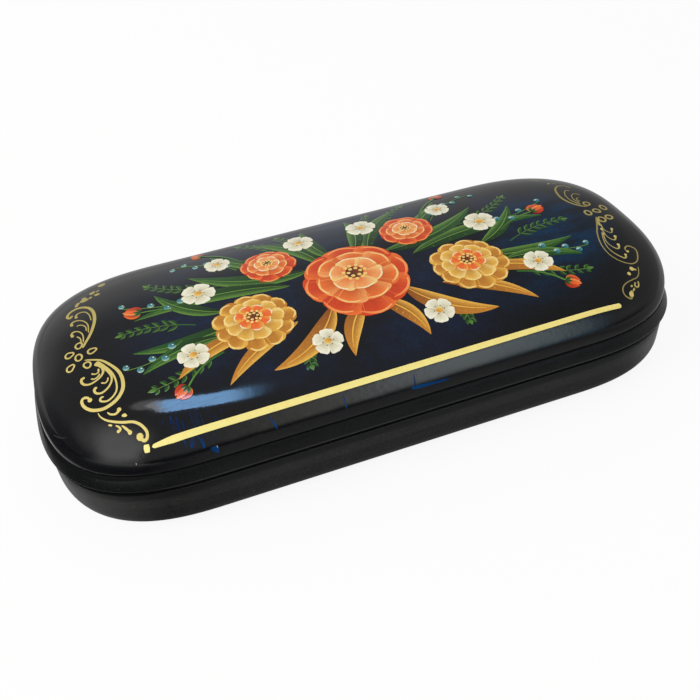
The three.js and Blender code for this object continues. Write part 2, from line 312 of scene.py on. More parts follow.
def satinLook(sheet, place, satin):
    x, z = sheet.axes(place, "XZ")
    mottle = sheet.noise(place, 0.12, 6, 0.6).between(0.35, 0.7)
    grain = sheet.noise(place, 2.4, 3)
    lines = sheet.noise(sheet.stretched(place, 0.05, 0.05, 1.1), 1.0, 3).between(0.4, 0.7)
    worn = 0.2 * mottle + 0.15 * lines + 0.5 * grain.between(0.4, 0.62)
    # real wear and grain, plus a painted highlight band along the base wall and painted shade on its top
    # under the rim
    if satin["band"]:
        above = z.between(*satin["band"][2:])
        worn = (worn + 0.35 * z.within(*satin["band"])) * (1 - 0.8 * above)
    colour = sheet.blend(worn, satin["black"], satin["worn"])
    speck = sheet.noise(place, 1.3, 1).between(0.77, 0.80)
    colour = sheet.blend(0.6 * speck, colour, satinMarks["speck"])
    # painted highlight on the right end of the rim
    rightEnd = x.between(*satinMarks["rightEnd"])
    if satin["edge"]:
        colour = sheet.blend(satin["rightEnd"] * rightEnd, colour, satinMarks["edge"])
    # painted shade: plain black under the overhang of the dome and of the rim, set lower at the left end
    # and weaker at the right end
    atLeft, elsewhere = satin["groove"]
    height = z + (elsewhere - atLeft) * (-x).between(*satinMarks["leftEnd"])
    groove = height.between(elsewhere - 0.06, elsewhere + 0.02) * (1 - 0.8 * rightEnd)
    colour = sheet.blend(groove, colour, satinMarks["groove"])
    # painted highlight along the rim's lower edge, fading out towards the left end
    if satin["edge"]:
        edge = (1 - z.between(*satin["edge"])) * x.between(*satinMarks["edgeAlong"])
        colour = sheet.blend(0.7 * edge, colour, satinMarks["edge"])
    return {
        "Base Color": colour,
        "Roughness": satin["roughness"] + satin["grain"] * mottle + 0.5 * groove,
        "Specular IOR Level": 0.3,
        "Normal": sheet.bump(grain, 0.08, 0.2 * mm),
    }


# Gold paint of the stripe and the scrolls

goldSet = {"light": (1.0, 0.89, 0.32), "deep": (0.95, 0.76, 0.22), "flake": 6.0}  # flakes to the mm


def goldLook(sheet, place):
    drift = sheet.noise(place, 0.5).between(0.35, 0.75)
    gold = sheet.blend(0.5 * drift, goldSet["light"], goldSet["deep"])
    return {
        "Base Color": sheet.blend(1.0, gold, sheet.brushed(), "MULTIPLY"),
        "Metallic": 0.08,
        "Roughness": 0.3 + 0.15 * drift,
        "Normal": sheet.bump(sheet.noise(place, goldSet["flake"], 2), 0.15, 0.05 * mm),
    }


# Enamel of the painted spray, and a duller one for the blue runs

enamelSet = {"grain": (0.62, 0.55, 0.5), "grainShare": 0.35, "sprayGloss": 0.5, "runGloss": 0.12}


def enamelLook(sheet, place, gloss):
    grain = sheet.noise(place, 1.6).between(0.3, 0.75)
    share = enamelSet["grainShare"] * grain
    return {
        "Base Color": sheet.blend(share, sheet.brushed(), enamelSet["grain"], "MULTIPLY"),
        "Roughness": 0.1 + 0.06 * grain,
        "Specular IOR Level": gloss,
    }


# Velvet of the linings and the pad

velvetSet = {
    "deep": (0.10, 0.004, 0.008),
    "light": (0.26, 0.014, 0.022),
    "sheen": (1.0, 0.35, 0.35),
    "pile": 0.35,  # mm
}


def velvetLook(sheet, place):
    brushing = sheet.noise(place, 0.07, 4, 0.6, 0.8).between(0.35, 0.7)
    pile = sheet.noise(place, 1 / velvetSet["pile"], 3, 0.7)
    return {
        "Base Color": sheet.blend(0.6 * brushing + 0.4 * pile, velvetSet["deep"], velvetSet["light"]),
        "Roughness": 0.9,
        "Specular IOR Level": 0.15,
        "Sheen Weight": 0.45,
        "Sheen Roughness": 0.4,
        "Sheen Tint": velvetSet["sheen"],
        "Normal": sheet.bump(pile, 0.5, 0.3 * mm),
    }


# Brass of the hinge and brads, and the steel of the spring, both drawn along the case

brassSet = {"clean": (0.72, 0.50, 0.18), "dull": (0.34, 0.21, 0.07), "roughness": 0.24}
steelSet = {"clean": (0.52, 0.54, 0.57), "dull": (0.30, 0.31, 0.33), "roughness": 0.22}


def metalLook(sheet, place, metal):
    lines = sheet.noise(sheet.stretched(place, 0.08, 2.4, 2.4), 1.0)
    tarnish = sheet.noise(place, 0.35, 5).between(0.4, 0.75)
    return {
        "Base Color": sheet.blend(0.7 * tarnish, metal["clean"], metal["dull"]),
        "Metallic": 1.0,
        "Roughness": metal["roughness"] + 0.18 * tarnish,
        "Normal": sheet.bump(lines, 0.06, 0.05 * mm),
    }


lacquer = finished("lacquer", lacquerLook)
satinBlack = finished("satinBlack", satinLook, rimSatin)
satinBase = finished("satinBase", satinLook, baseSatin)
goldPaint = finished("goldPaint", goldLook)
enamel = finished("paintedEnamel", enamelLook, enamelSet["sprayGloss"])
bluePaint = finished("bluePaint", enamelLook, enamelSet["runGloss"])
velvet = finished("velvet", velvetLook)
brass = finished("brass", metalLook, brassSet)
springSteel = finished("springSteel", metalLook, steelSet)
print("finishes mixed")


# Plan of the case, shared by all its shells: straight sides and superelliptic ends

rimLow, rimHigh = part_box("lid_rim")
plan = {
    "halfLength": (rimHigh.x - rimLow.x) / 2,
    "halfWidth": (rimHigh.y - rimLow.y) / 2,
    "middleY": (rimHigh.y + rimLow.y) / 2,
    "endLength": 36.5 * mm,
    "roundness": 2.73,  # exponent: 2 is an ellipse
    "endSteps": 44,  # in each quarter
    "sideSteps": 40,
}


def planOutline(inset):
    turn = np.linspace(0, math.pi / 2, plan["endSteps"] + 1)
    power = 2 / plan["roundness"]
    straight = plan["halfLength"] - plan["endLength"]
    endX = straight + (plan["endLength"] - inset) * np.abs(np.cos(turn)) ** power
    endY = (plan["halfWidth"] - inset) * np.sin(turn) ** power
    sideX = np.linspace(straight, -straight, plan["sideSteps"] + 1)[1:-1]
    sideY = np.full_like(sideX, plan["halfWidth"] - inset)
    backX = np.concatenate([endX, sideX, -endX[::-1]])
    backY = np.concatenate([endY, sideY, endY[::-1]])
    x = np.concatenate([backX, -backX[1:-1]])  # the front is the back turned half round
    y = np.concatenate([backY, -backY[1:-1]])
    return x, y


# Points at places from the case's middle, at one height or each at its own
def raised(x, y, height):
    return np.column_stack([x, y + plan["middleY"], np.full_like(x, height)])


def ring(inset, height):
    return raised(*planOutline(inset), height)


# Faces between rings of points, from the first ring to the last, or round in a loop
def ringFaces(ringCount, pointCount, loop=False):
    faces = []
    for band in range(ringCount if loop else ringCount - 1):
        lower, upper = band * pointCount, (band + 1) % ringCount * pointCount
        for i in range(pointCount):
            j = (i + 1) % pointCount
            faces.append((lower + i, lower + j, upper + j, upper + i))
    return faces


def endCaps(ringCount, pointCount):
    last = (ringCount - 1) * pointCount
    return [tuple(range(pointCount))[::-1], tuple(range(last, last + pointCount))]


def newMesh(name, points, faces):
    mesh = bpy.data.meshes.new(name)
    mesh.from_pydata([tuple(point) for point in points], [], faces)
    mesh.update()
    return mesh


def newPiece(name, points, faces, finish, body, sharpDegrees=40):
    piece = linked(name, newMesh(name, points, faces))
    piece.data.materials.append(finish)
    smooth(piece.data, sharpDegrees)
    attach(piece, body)
    return piece


def smooth(mesh, sharpDegrees=40):
    mesh.polygons.foreach_set("use_smooth", [True] * len(mesh.polygons))
    mesh.set_sharp_from_angle(angle=math.radians(sharpDegrees))


def applied(piece):  # its modifiers become its mesh
    bpy.context.view_layer.update()
    mesh = bpy.data.meshes.new_from_object(piece.evaluated_get(bpy.context.evaluated_depsgraph_get()))
    piece.modifiers.clear()
    piece.data = mesh
    return mesh


# A shell lofted through a profile of (inset, height): a closed band, or a tray with two flat ends
def loftedPiece(name, profile, isTray, finish, body):
    rings = [ring(inset, height) for inset, height in profile]
    count = len(rings[0])
    faces = ringFaces(len(rings), count, not isTray)
    if isTray:
        faces += endCaps(len(rings), count)
    return newPiece(name, np.concatenate(rings), faces, finish, body)


# A rounded corner of a profile, from one point round a corner to another
def rounded(start, corner, end, steps=6):
    points = []
    for step in range(steps + 1):
        t = step / steps
        a, b, c = (1 - t) ** 2, 2 * t * (1 - t), t * t
        points.append(tuple(a * p + b * q + c * r for p, q, r in zip(start, corner, end)))
    return points


def quarter(centre, radius, startDegrees, endDegrees, steps):
    points = []
    for step in range(steps + 1):
        angle = math.radians(startDegrees + (endDegrees - startDegrees) * step / steps)
        points.append((centre[0] - radius * math.cos(angle), centre[1] + radius * math.sin(angle)))
    return points


# A strip that stands on edge, with a soft top
def standing(outer, thickness, low, high, soft):
    inner = outer + thickness
    return [(outer, low), *rounded((outer, high - soft), (outer, high), (outer + soft, high), 5),
            *rounded((inner - soft, high), (inner, high), (inner, high - soft), 5), (inner, low)]


# Cuts the given solids out of a piece
def carve(piece, cutters):
    for cutter in cutters:
        change = piece.modifiers.new("carve", "BOOLEAN")
        change.object = cutter
        change.operation = "DIFFERENCE"
        change.solver = "EXACT"
    smooth(applied(piece))
    for cutter in cutters:
        bpy.data.objects.remove(cutter)


def boxBetween(low, high):
    shape = bmesh.new()
    size = [b - a for a, b in zip(low, high)]
    middle = [(a + b) / 2 for a, b in zip(low, high)]
    bmesh.ops.create_cube(shape, size=1, matrix=Matrix.LocRotScale(middle, None, size))
    return solidOf("scratch", shape)


def barAlongX(radius, low, high, y, z, sides=40):
    shape = bmesh.new()
    turn = Matrix.Translation(((low + high) / 2, y, z)) @ Matrix.Rotation(math.pi / 2, 4, "Y")
    bmesh.ops.create_cone(shape, cap_ends=True, segments=sides, radius1=radius, radius2=radius,
                          depth=high - low, matrix=turn)
    return solidOf("scratch", shape)


def solidOf(name, shape):
    mesh = bpy.data.meshes.new(name)
    shape.to_mesh(mesh)
    shape.free()
    return linked(name, mesh)


# Hinge line, from the joint
hingeJoint = frame["joints"][0]
hingeY, hingeZ = hingeJoint["pos_m"][1], hingeJoint["pos_m"][2]
hinge = {
    "halfLength": 36.0 * mm,
    "barrelRadius": 1.5 * mm,
    "pinRadius": 0.75 * mm,
    "pinPlay": 0.1 * mm,  # between the pin and the knuckles
    "pinEnd": 0.6 * mm,  # how far the pin shows at each end
    "pinTip": 0.25 * mm,  # its rounding
    "running": 0.3 * mm,
    "rebate": 0.8 * mm,  # above and below the seam
    "roomDepth": 8 * mm,
    "leaf": 0.5 * mm,
    "leafGap": 0.2 * mm,
    "leafInset": 3.6 * mm,  # from the plan's edge
    "fold": 0.4 * mm,  # rounding of the leaf's fold, with its middle cut off by this much
    "foldCut": 0.12 * mm,
    "overlap": 0.4 * mm,  # of a knuckle's strap and the leaf
    "knuckles": 7,
    "knuckleGap": 0.3 * mm,
    "knuckleSteps": 44,
    "knuckleOpen": 0.06,  # radians left open where the roll ends
}
hinge["roomHalf"] = hinge["halfLength"] + hinge["pinEnd"] + hinge["running"]


def hingeRoom():
    half, deep, rebate = hinge["roomHalf"], hinge["roomDepth"], hinge["rebate"]
    low, high = (-half, hingeY - deep, hingeZ - rebate), (half, hingeY + deep, hingeZ + rebate)
    return [boxBetween(low, high),
            barAlongX(hinge["barrelRadius"] + hinge["running"], -half, half, hingeY, hingeZ)]


# Lid dome: a superelliptic vault over the plan

domeLow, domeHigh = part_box("lid_dome")
dome = {
    "inset": plan["halfLength"] - domeHigh.x,
    "foot": domeLow.z,
    "crown": domeHigh.z,
    "wall": 2.2 * mm,
    "edgeRound": 0.5 * mm,
    "crossPower": 2.4,
    "lengthPower": 12.0,
    "rings": 56,
    "halvings": 42,  # how often the search for a height is narrowed
}
dome["edge"] = dome["foot"] + dome["edgeRound"]


# Height of a vault that stands on the plan at an inset, at places given from the case's middle
def vaultHeight(x, y, inset, edge, crown):
    straight = plan["halfLength"] - plan["endLength"]
    endReach, halfWidth = plan["endLength"] - inset, plan["halfWidth"] - inset
    narrowing = dome["lengthPower"] / dome["crossPower"]
    low, high = np.full(np.shape(x), 1e-3), np.ones(np.shape(x))
    for _ in range(dome["halvings"]):
        scale = (low + high) / 2
        beyond = np.maximum(np.abs(x) / scale - straight, 0) / endReach
        aside = np.abs(y) / scale ** narrowing / halfWidth
        outside = beyond ** plan["roundness"] + aside ** plan["roundness"] > 1
        low, high = np.where(outside, scale, low), np.where(outside, high, scale)
    return edge + (crown - edge) * (1 - high ** dome["lengthPower"]) ** (1 / dome["crossPower"])


# Shares of the way out from a vault's middle, closer together at its edge
def outward(count):
    return [math.sin(math.pi / 2 * step / count) for step in range(1, count + 1)]


def vaultRings(inset, edge, crown):
    x, y = planOutline(inset)
    rings = [raised(x * share, y * share, vaultHeight(x * share, y * share, inset, edge, crown))
             for share in outward(dome["rings"])]
    rings[-1][:, 2] = edge
    return rings


# A closed shell between two vaults: up the inside from its middle, out at the edge, over the outside
def vaultPiece(name, inner, outer, edgeRings, finish):
    rings = vaultRings(*inner) + edgeRings + vaultRings(*outer)[::-1]
    count = len(rings[0])
    points = list(np.concatenate(rings))
    points += [(0, plan["middleY"], inner[2]), (0, plan["middleY"], outer[2])]
    bottom, top, last = len(points) - 2, len(points) - 1, (len(rings) - 1) * count
    faces = ringFaces(len(rings), count)
    for i in range(count):
        j = (i + 1) % count
        faces += [(bottom, j, i), (top, last + i, last + j)]
    return newPiece(name, points, faces, finish, "lid")


def lidDome():
    inset, foot, crown, wall = dome["inset"], dome["foot"], dome["crown"], dome["wall"]
    lip = rounded((inset + dome["edgeRound"], foot), (inset, foot), (inset, dome["edge"]))
    piece = vaultPiece("lidDome", (inset + wall, foot, crown - wall), (inset, dome["edge"], crown),
                       [ring(*point) for point in lip[:-1]], lacquer)
    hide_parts("lid_dome")


lidDome()
print("dome raised")


# Lid rim: a leaning band under the dome

rim = {
    "lean": 1.2 * mm,
    "edge": 0.35 * mm,
    "topCorner": 0.14 * mm,  # how far the corner of its upper edge leans further in
    "depth": 3.4 * mm,
    "soft": 0.15 * mm,
}


def lidRim():
    foot, top, lean, edge = rimLow.z, rimHigh.z, rim["lean"], rim["edge"]
    inner, soft = rim["depth"], rim["soft"]
    profile = rounded((edge, foot), (0, foot), (0, foot + edge))
    profile += rounded((lean, top - edge), (lean + rim["topCorner"], top), (lean + edge, top))
    profile += rounded((inner - soft, top), (inner, top), (inner, top - soft), 3)
    profile += rounded((inner, foot + soft), (inner, foot), (inner - soft, foot), 3)
    piece = loftedPiece("lidRim", profile, False, satinBlack, "lid")
    carve(piece, hingeRoom())
    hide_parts("lid_rim")


# Base: a tray with a turned-under foot

baseLow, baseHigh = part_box("base_shell")
tray = {
    "setIn": plan["halfLength"] - baseHigh.x,
    "foot": 5.2 * mm,
    "edge": 0.7 * mm,
    "ledge": 1.1 * mm,  # height of the groove under the rim
    "ledgeDepth": 0.65 * mm,
    "ledgeFlat": 0.1 * mm,
    "wall": 3.4 * mm,  # from the plan's edge to the inner face
    "wallSoft": 0.2 * mm,
    "floor": 2.6 * mm,
    "insideRound": 3.0 * mm,
}


def baseShell():
    setIn, foot, edge, top = tray["setIn"], tray["foot"], tray["edge"], baseHigh.z
    wall, soft, inside, floor = tray["wall"], tray["wallSoft"], tray["insideRound"], tray["floor"]
    ledge, deep = top - tray["ledge"], setIn + tray["ledgeDepth"]
    profile = quarter((setIn + foot, baseLow.z + foot), foot, -90, 0, 16)
    profile += rounded((setIn, ledge - edge), (setIn, ledge), (deep - tray["ledgeFlat"], ledge), 8)
    profile += [(deep, ledge), (deep, top)]
    profile += rounded((wall - soft, top), (wall, top), (wall, top - soft), 3)
    profile += quarter((wall + inside, floor + inside), inside, 0, -90, 8)
    piece = loftedPiece("baseShell", profile, True, satinBase, "base")
    carve(piece, hingeRoom())
    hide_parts("base_shell")


# Collar: a strip that stands up from the base into the rim, open at the hinge

collarLow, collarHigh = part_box("base_collar")
collar = {"inset": plan["halfLength"] - collarHigh.x, "wall": 1.2 * mm, "soft": 0.35 * mm}


def baseCollar():
    low, high, half = collarLow.z, collarHigh.z, hinge["roomHalf"]
    profile = standing(collar["inset"], collar["wall"], low, high, collar["soft"])
    piece = loftedPiece("baseCollar", profile, False, satinBlack, "base")
    carve(piece, [boxBetween((-half, 0, low - mm), (half, 2 * hingeY, high + mm))])
    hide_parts("base_collar")


lidRim()
baseShell()
baseCollar()
print("rim, base and collar turned")


# Velvet linings: a skin inside the dome and a strip round the base wall

skin = {
    "foot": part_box("lid_lining")[0].z,
    "glue": 0.2 * mm,
    "thickness": 0.8 * mm,
    "flat": (0.172, 0.082),  # the cut, before it is pressed into the dome
    "flatShare": 0.85,  # of that rectangle, with the corners rounded off
}


def lidLining():
    outerDepth = dome["wall"] + skin["glue"]
    outer, inner = ((dome["inset"] + depth, skin["foot"], dome["crown"] - depth)
                    for depth in (outerDepth, outerDepth + skin["thickness"]))
    piece = vaultPiece("lidLining", inner, outer, [], velvet)
    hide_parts("lid_lining")
    width, length = skin["flat"]


stripLow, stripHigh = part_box("base_lining")
strip = {"inset": plan["halfLength"] - stripHigh.x, "thickness": 0.8 * mm, "roll": 0.38 * mm}


def baseLining():
    low, high = stripLow.z, stripHigh.z
    profile = standing(strip["inset"], strip["thickness"], low, high, strip["roll"])
    piece = loftedPiece("baseLining", profile, False, velvet, "base")
    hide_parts("base_lining")
    around = ring(strip["inset"] + strip["thickness"], low)
    length = float(np.linalg.norm(np.roll(around, -1, axis=0) - around, axis=1).sum())


# Pad: a velvet cushion on the floor of the base, swollen by a cloth simulation

padLow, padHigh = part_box("base_pad")
pad = {
    "inset": plan["halfLength"] - padHigh.x,
    "smaller": 0.4 * mm,  # all round, before it swells
    "edge": 1.5 * mm,  # how far in the rolled edge reaches
    "edgeFoot": 0.3,  # share of the edge's height that stands straight
    "crown": 0.7 * mm,
    "crownPower": 2.6,
    "rings": 40,
    "voxel": 1.5 * mm,
    "enlarged": 60,  # the solver is tuned to things of some metres
    "pressure": 0.1,
    "frames": 20,
    "most": 0.4 * mm,  # how far a point may move
    "held": 0.5 * mm,  # glued to the floor up to this height
    "sharpDegrees": 60,
}


def padStart():
    x, y = planOutline(pad["inset"] + pad["smaller"])
    low, high = padLow.z, padHigh.z - pad["smaller"]
    shoulder = high - pad["crown"]
    rings = []
    for share in outward(pad["rings"]):
        fromEdge = (1 - share) * plan["halfWidth"]
        roll = math.sqrt(max(1 - max(1 - fromEdge / pad["edge"], 0) ** 2, 0))
        edge = pad["edgeFoot"] + (1 - pad["edgeFoot"]) * roll
        height = low + (shoulder - low) * edge + pad["crown"] * (1 - share ** pad["crownPower"])
        rings.append(raised(x * share, y * share, height))
    rings.append(raised(x, y, low))
    count, last = len(x), (len(rings) - 1) * len(x)
    points = np.vstack(rings + [(0, plan["middleY"], high)]) * pad["enlarged"]
    faces = [face[::-1] for face in ringFaces(len(rings), count)]
    faces += [(len(points) - 1, i, (i + 1) % count) for i in range(count)]
    faces.append(tuple(range(last + count - 1, last - 1, -1)))
    return linked("padStart", newMesh("padStart", points, faces))


def pointsOf(mesh):
    flat = np.empty(3 * len(mesh.vertices))
    mesh.vertices.foreach_get("co", flat)
    return flat.reshape(-1, 3)


def basePad():
    cloth = padStart()
    remesh = cloth.modifiers.new("remesh", "REMESH")
    remesh.mode = "VOXEL"
    remesh.voxel_size = pad["voxel"] * pad["enlarged"]
    start = pointsOf(applied(cloth))
    held = cloth.vertex_groups.new(name="held")
    glued = np.flatnonzero(start[:, 2] < (padLow.z + pad["held"]) * pad["enlarged"])
    held.add(glued.tolist(), 1.0, "REPLACE")
    swelling = cloth.modifiers.new("swelling", "CLOTH")
    swelling.settings.vertex_group_mass = "held"
    swelling.settings.use_pressure = True
    swelling.settings.uniform_pressure_force = pad["pressure"]
    swelling.settings.effector_weights.gravity = 0
    swelling.point_cache.frame_start, swelling.point_cache.frame_end = 1, pad["frames"]
    for step in range(1, pad["frames"] + 1):
        bpy.context.scene.frame_set(step)
    mesh = applied(cloth)
    move = (pointsOf(mesh) - start) / pad["enlarged"]
    far = np.linalg.norm(move, axis=1, keepdims=True)
    points = start / pad["enlarged"] + move * np.minimum(1, pad["most"] / np.maximum(far, 1e-9))
    points[:, 2] = np.clip(points[:, 2], padLow.z, padHigh.z)
    print(f"pad swelled by up to {far.max() / mm:.2f} mm, kept to {pad['most'] / mm:.2f} mm")
    faces = [tuple(face.vertices) for face in mesh.polygons]
    bpy.data.objects.remove(cloth)
    bpy.context.scene.frame_set(1)
    piece = newPiece("basePad", points, faces, velvet, "base", pad["sharpDegrees"])
    finer = piece.modifiers.new("finer", "SUBSURF")
    finer.levels = finer.render_levels = 1
    smooth(applied(piece), pad["sharpDegrees"])
    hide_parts("base_pad")


lidLining()
baseLining()
basePad()
print("velvet laid")


# Hinge: rolled knuckles, folded leaves, a pin, a snap spring and brads

def extrudeAlongX(outline, low, high):
    count = len(outline)
    points = [(x, y + hingeY, z + hingeZ) for x in (low, high) for y, z in outline]
    return points, ringFaces(2, count) + endCaps(2, count)


# A turned solid from a profile of (along, radius); place sets its points from along and two sides
def turned(profile, sides, place):
    points = []
    for along, radius in profile:
        for i in range(sides):
            angle = 2 * math.pi * i / sides
            points.append(place(along, radius * math.cos(angle), radius * math.sin(angle)))
    return points, ringFaces(len(profile), sides) + endCaps(len(profile), sides)


def brassPiece(name, node, solids, body):
    points, faces = [], []
    for solidPoints, solidFaces in solids:
        start = len(points)
        points += solidPoints
        faces += [tuple(start + i for i in face) for face in solidFaces]
    piece = newPiece(name, points, faces, brass, body)
    shape = bmesh.new()
    shape.from_mesh(piece.data)
    bmesh.ops.recalc_face_normals(shape, faces=shape.faces)
    shape.to_mesh(piece.data)
    shape.free()
    smooth(piece.data)
    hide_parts(node)


def knuckleSpan(index):
    pitch = 2 * hinge["halfLength"] / hinge["knuckles"]
    start = index * pitch - hinge["halfLength"]
    return start + hinge["knuckleGap"] / 2, start + pitch - hinge["knuckleGap"] / 2


# One rolled knuckle in section: nearly a full turn round the pin, then the strap to the leaf
def knuckleOutline(low, high, strapEnd):
    outerRadius, innerRadius = hinge["barrelRadius"], hinge["pinRadius"] + hinge["pinPlay"]
    start, end = math.asin(high / outerRadius), 2 * math.pi + math.asin(low / outerRadius)
    steps = hinge["knuckleSteps"]
    outer, inner = [], []
    for step in range(steps + 1):
        angle = math.pi - start - (end - start - hinge["knuckleOpen"]) * step / steps
        outer.append((outerRadius * math.cos(angle), outerRadius * math.sin(angle)))
        inner.append((innerRadius * math.cos(angle), innerRadius * math.sin(angle)))
    return [(-strapEnd, low), (-strapEnd, high)] + outer + inner[::-1]


def hingeLeaf(name, node, side, body, first):
    low, high = hinge["leafGap"] / 2, hinge["leafGap"] / 2 + hinge["leaf"]
    near, face = hinge["leafInset"], hinge["leafInset"] + hinge["leaf"]
    fold, cut = hinge["fold"], hinge["foldCut"]
    boxLow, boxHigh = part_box(node)
    reach = (boxHigh.z - hingeZ) if side > 0 else (hingeZ - boxLow.z)
    start = hinge["barrelRadius"] + hinge["running"]
    end = hinge["halfLength"] - hinge["knuckleGap"] / 2
    bend = [(-start, low), (-start, high), (-near, high), (-near, reach), (-face, reach),
            (-face, low + fold), (-face + cut, low + cut), (-face + fold, low)]
    knuckle = knuckleOutline(low, high, start + hinge["overlap"])
    shapes = [(bend, (-end, end))]
    shapes += [(knuckle, knuckleSpan(index)) for index in range(first, hinge["knuckles"], 2)]
    solids = [extrudeAlongX([(y, side * z) for y, z in outline], *span) for outline, span in shapes]
    brassPiece(name, node, solids, body)


def hingePin():
    pinLow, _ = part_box("hinge_pin")
    radius, tip = hinge["pinRadius"], hinge["pinTip"]
    profile = []
    for angle in (math.pi / 2 * step / 4 for step in range(5)):
        profile.append((pinLow.x + tip * (1 - math.cos(angle)), radius - tip * (1 - math.sin(angle))))
    profile += [(-x, r) for x, r in reversed(profile)]
    pin = turned(profile, 40, lambda x, a, b: (x, hingeY + a, hingeZ + b))
    brassPiece("hingePin", "hinge_pin", [pin], "base")


brad = {"head": 0.4 * mm, "neck": 0.02 * mm, "shank": 0.45 * mm, "point": 0.05 * mm}


def bradPiece(node, body):
    low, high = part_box(node)
    centreX, centreZ = (low.x + high.x) / 2, (low.z + high.z) / 2
    radius, head, shank = (high.x - low.x) / 2, brad["head"], brad["shank"]
    profile = [(low.y + head * (1 - math.cos(angle)), radius * math.sin(angle))
               for angle in (math.pi / 2 * step / 6 for step in range(1, 7))]
    profile += [(low.y + head + brad["neck"], shank), (high.y - shank, shank), (high.y, brad["point"])]
    words = node.split("_")
    solid = turned(profile, 28, lambda y, a, b: (centreX + a, y, centreZ + b))
    brassPiece(words[0] + "Brad" + words[2], node, [solid], body)


hingeLeaf("hingeLeafLid", "hinge_leaf_lid", 1, "lid", 1)
hingeLeaf("hingeLeafBase", "hinge_leaf_base", -1, "base", 0)
hingePin()
frame["nodes"]["hinge_spring"].data.materials.clear()
frame["nodes"]["hinge_spring"].data.materials.append(springSteel)
for bradIndex in range(1, 5):
    bradPiece(f"lid_brad_{bradIndex}", "lid")
    bradPiece(f"base_brad_{bradIndex}", "base")
print("hinge fitted")


# Brushwork on the dome: strokes are thin bodies of paint draped on the vault

paint = {
    "sunk": 0.03 * mm,  # how far a stroke's underside lies in the lacquer
    "layer": 0.012 * mm,  # each coat lies this much above the one before
    "relief": 0.02 * mm,
    "fullRelief": 0.4,  # mm, the half width from which a stroke has all of it
    "step": 0.35,  # mm along a stroke
    "thinnest": 0.015,  # mm, half of the finest point
    "probe": 0.05 * mm,  # to feel the dome's slope
    "sharpDegrees": 50,
}


# Points on the dome at places in millimetres from the case's middle, lifted off its surface
def onDome(x, y, lift):
    x, y, probe = x * mm, y * mm, paint["probe"]

    def height(px, py):
        return vaultHeight(px, py, dome["inset"], dome["edge"], dome["crown"])

    slopeX = (height(x + probe, y) - height(x - probe, y)) / (2 * probe)
    slopeY = (height(x, y + probe) - height(x, y - probe)) / (2 * probe)
    normal = np.column_stack([-slopeX, -slopeY, np.ones_like(x)])
    normal /= np.linalg.norm(normal, axis=1, keepdims=True)
    return raised(x, y, height(x, y)) + normal * lift[:, None]


# A smooth line through a few points, in even steps
def smoothLine(points, step):
    points = np.array(points, float)
    ends = np.vstack([2 * points[0] - points[1], points, 2 * points[-1] - points[-2]])
    t = np.arange(0, 1, 0.05)[:, None]
    line = []
    for a, b, c, d in zip(ends, ends[1:], ends[2:], ends[3:]):
        line.append(0.5 * (2 * b + (c - a) * t + (2 * a - 5 * b + 4 * c - d) * t ** 2
                           + (3 * b - a - 3 * c + d) * t ** 3))
    line = np.vstack(line + [points[-1:]])
    along = np.concatenate([[0], np.cumsum(np.linalg.norm(np.diff(line, axis=0), axis=1))])
    even = np.linspace(0, along[-1], max(int(along[-1] / step) + 1, 6))
    return np.column_stack([np.interp(even, along, line[:, k]) for k in (0, 1)])


# Half widths along a stroke from 0 to 1, as shares of its full half width
def roundEnds(t, share):
    fromEnd = np.minimum(np.minimum(t, 1 - t) / share, 1)
    return np.sqrt(np.clip(1 - (1 - fromEnd) ** 2, 0, 1))


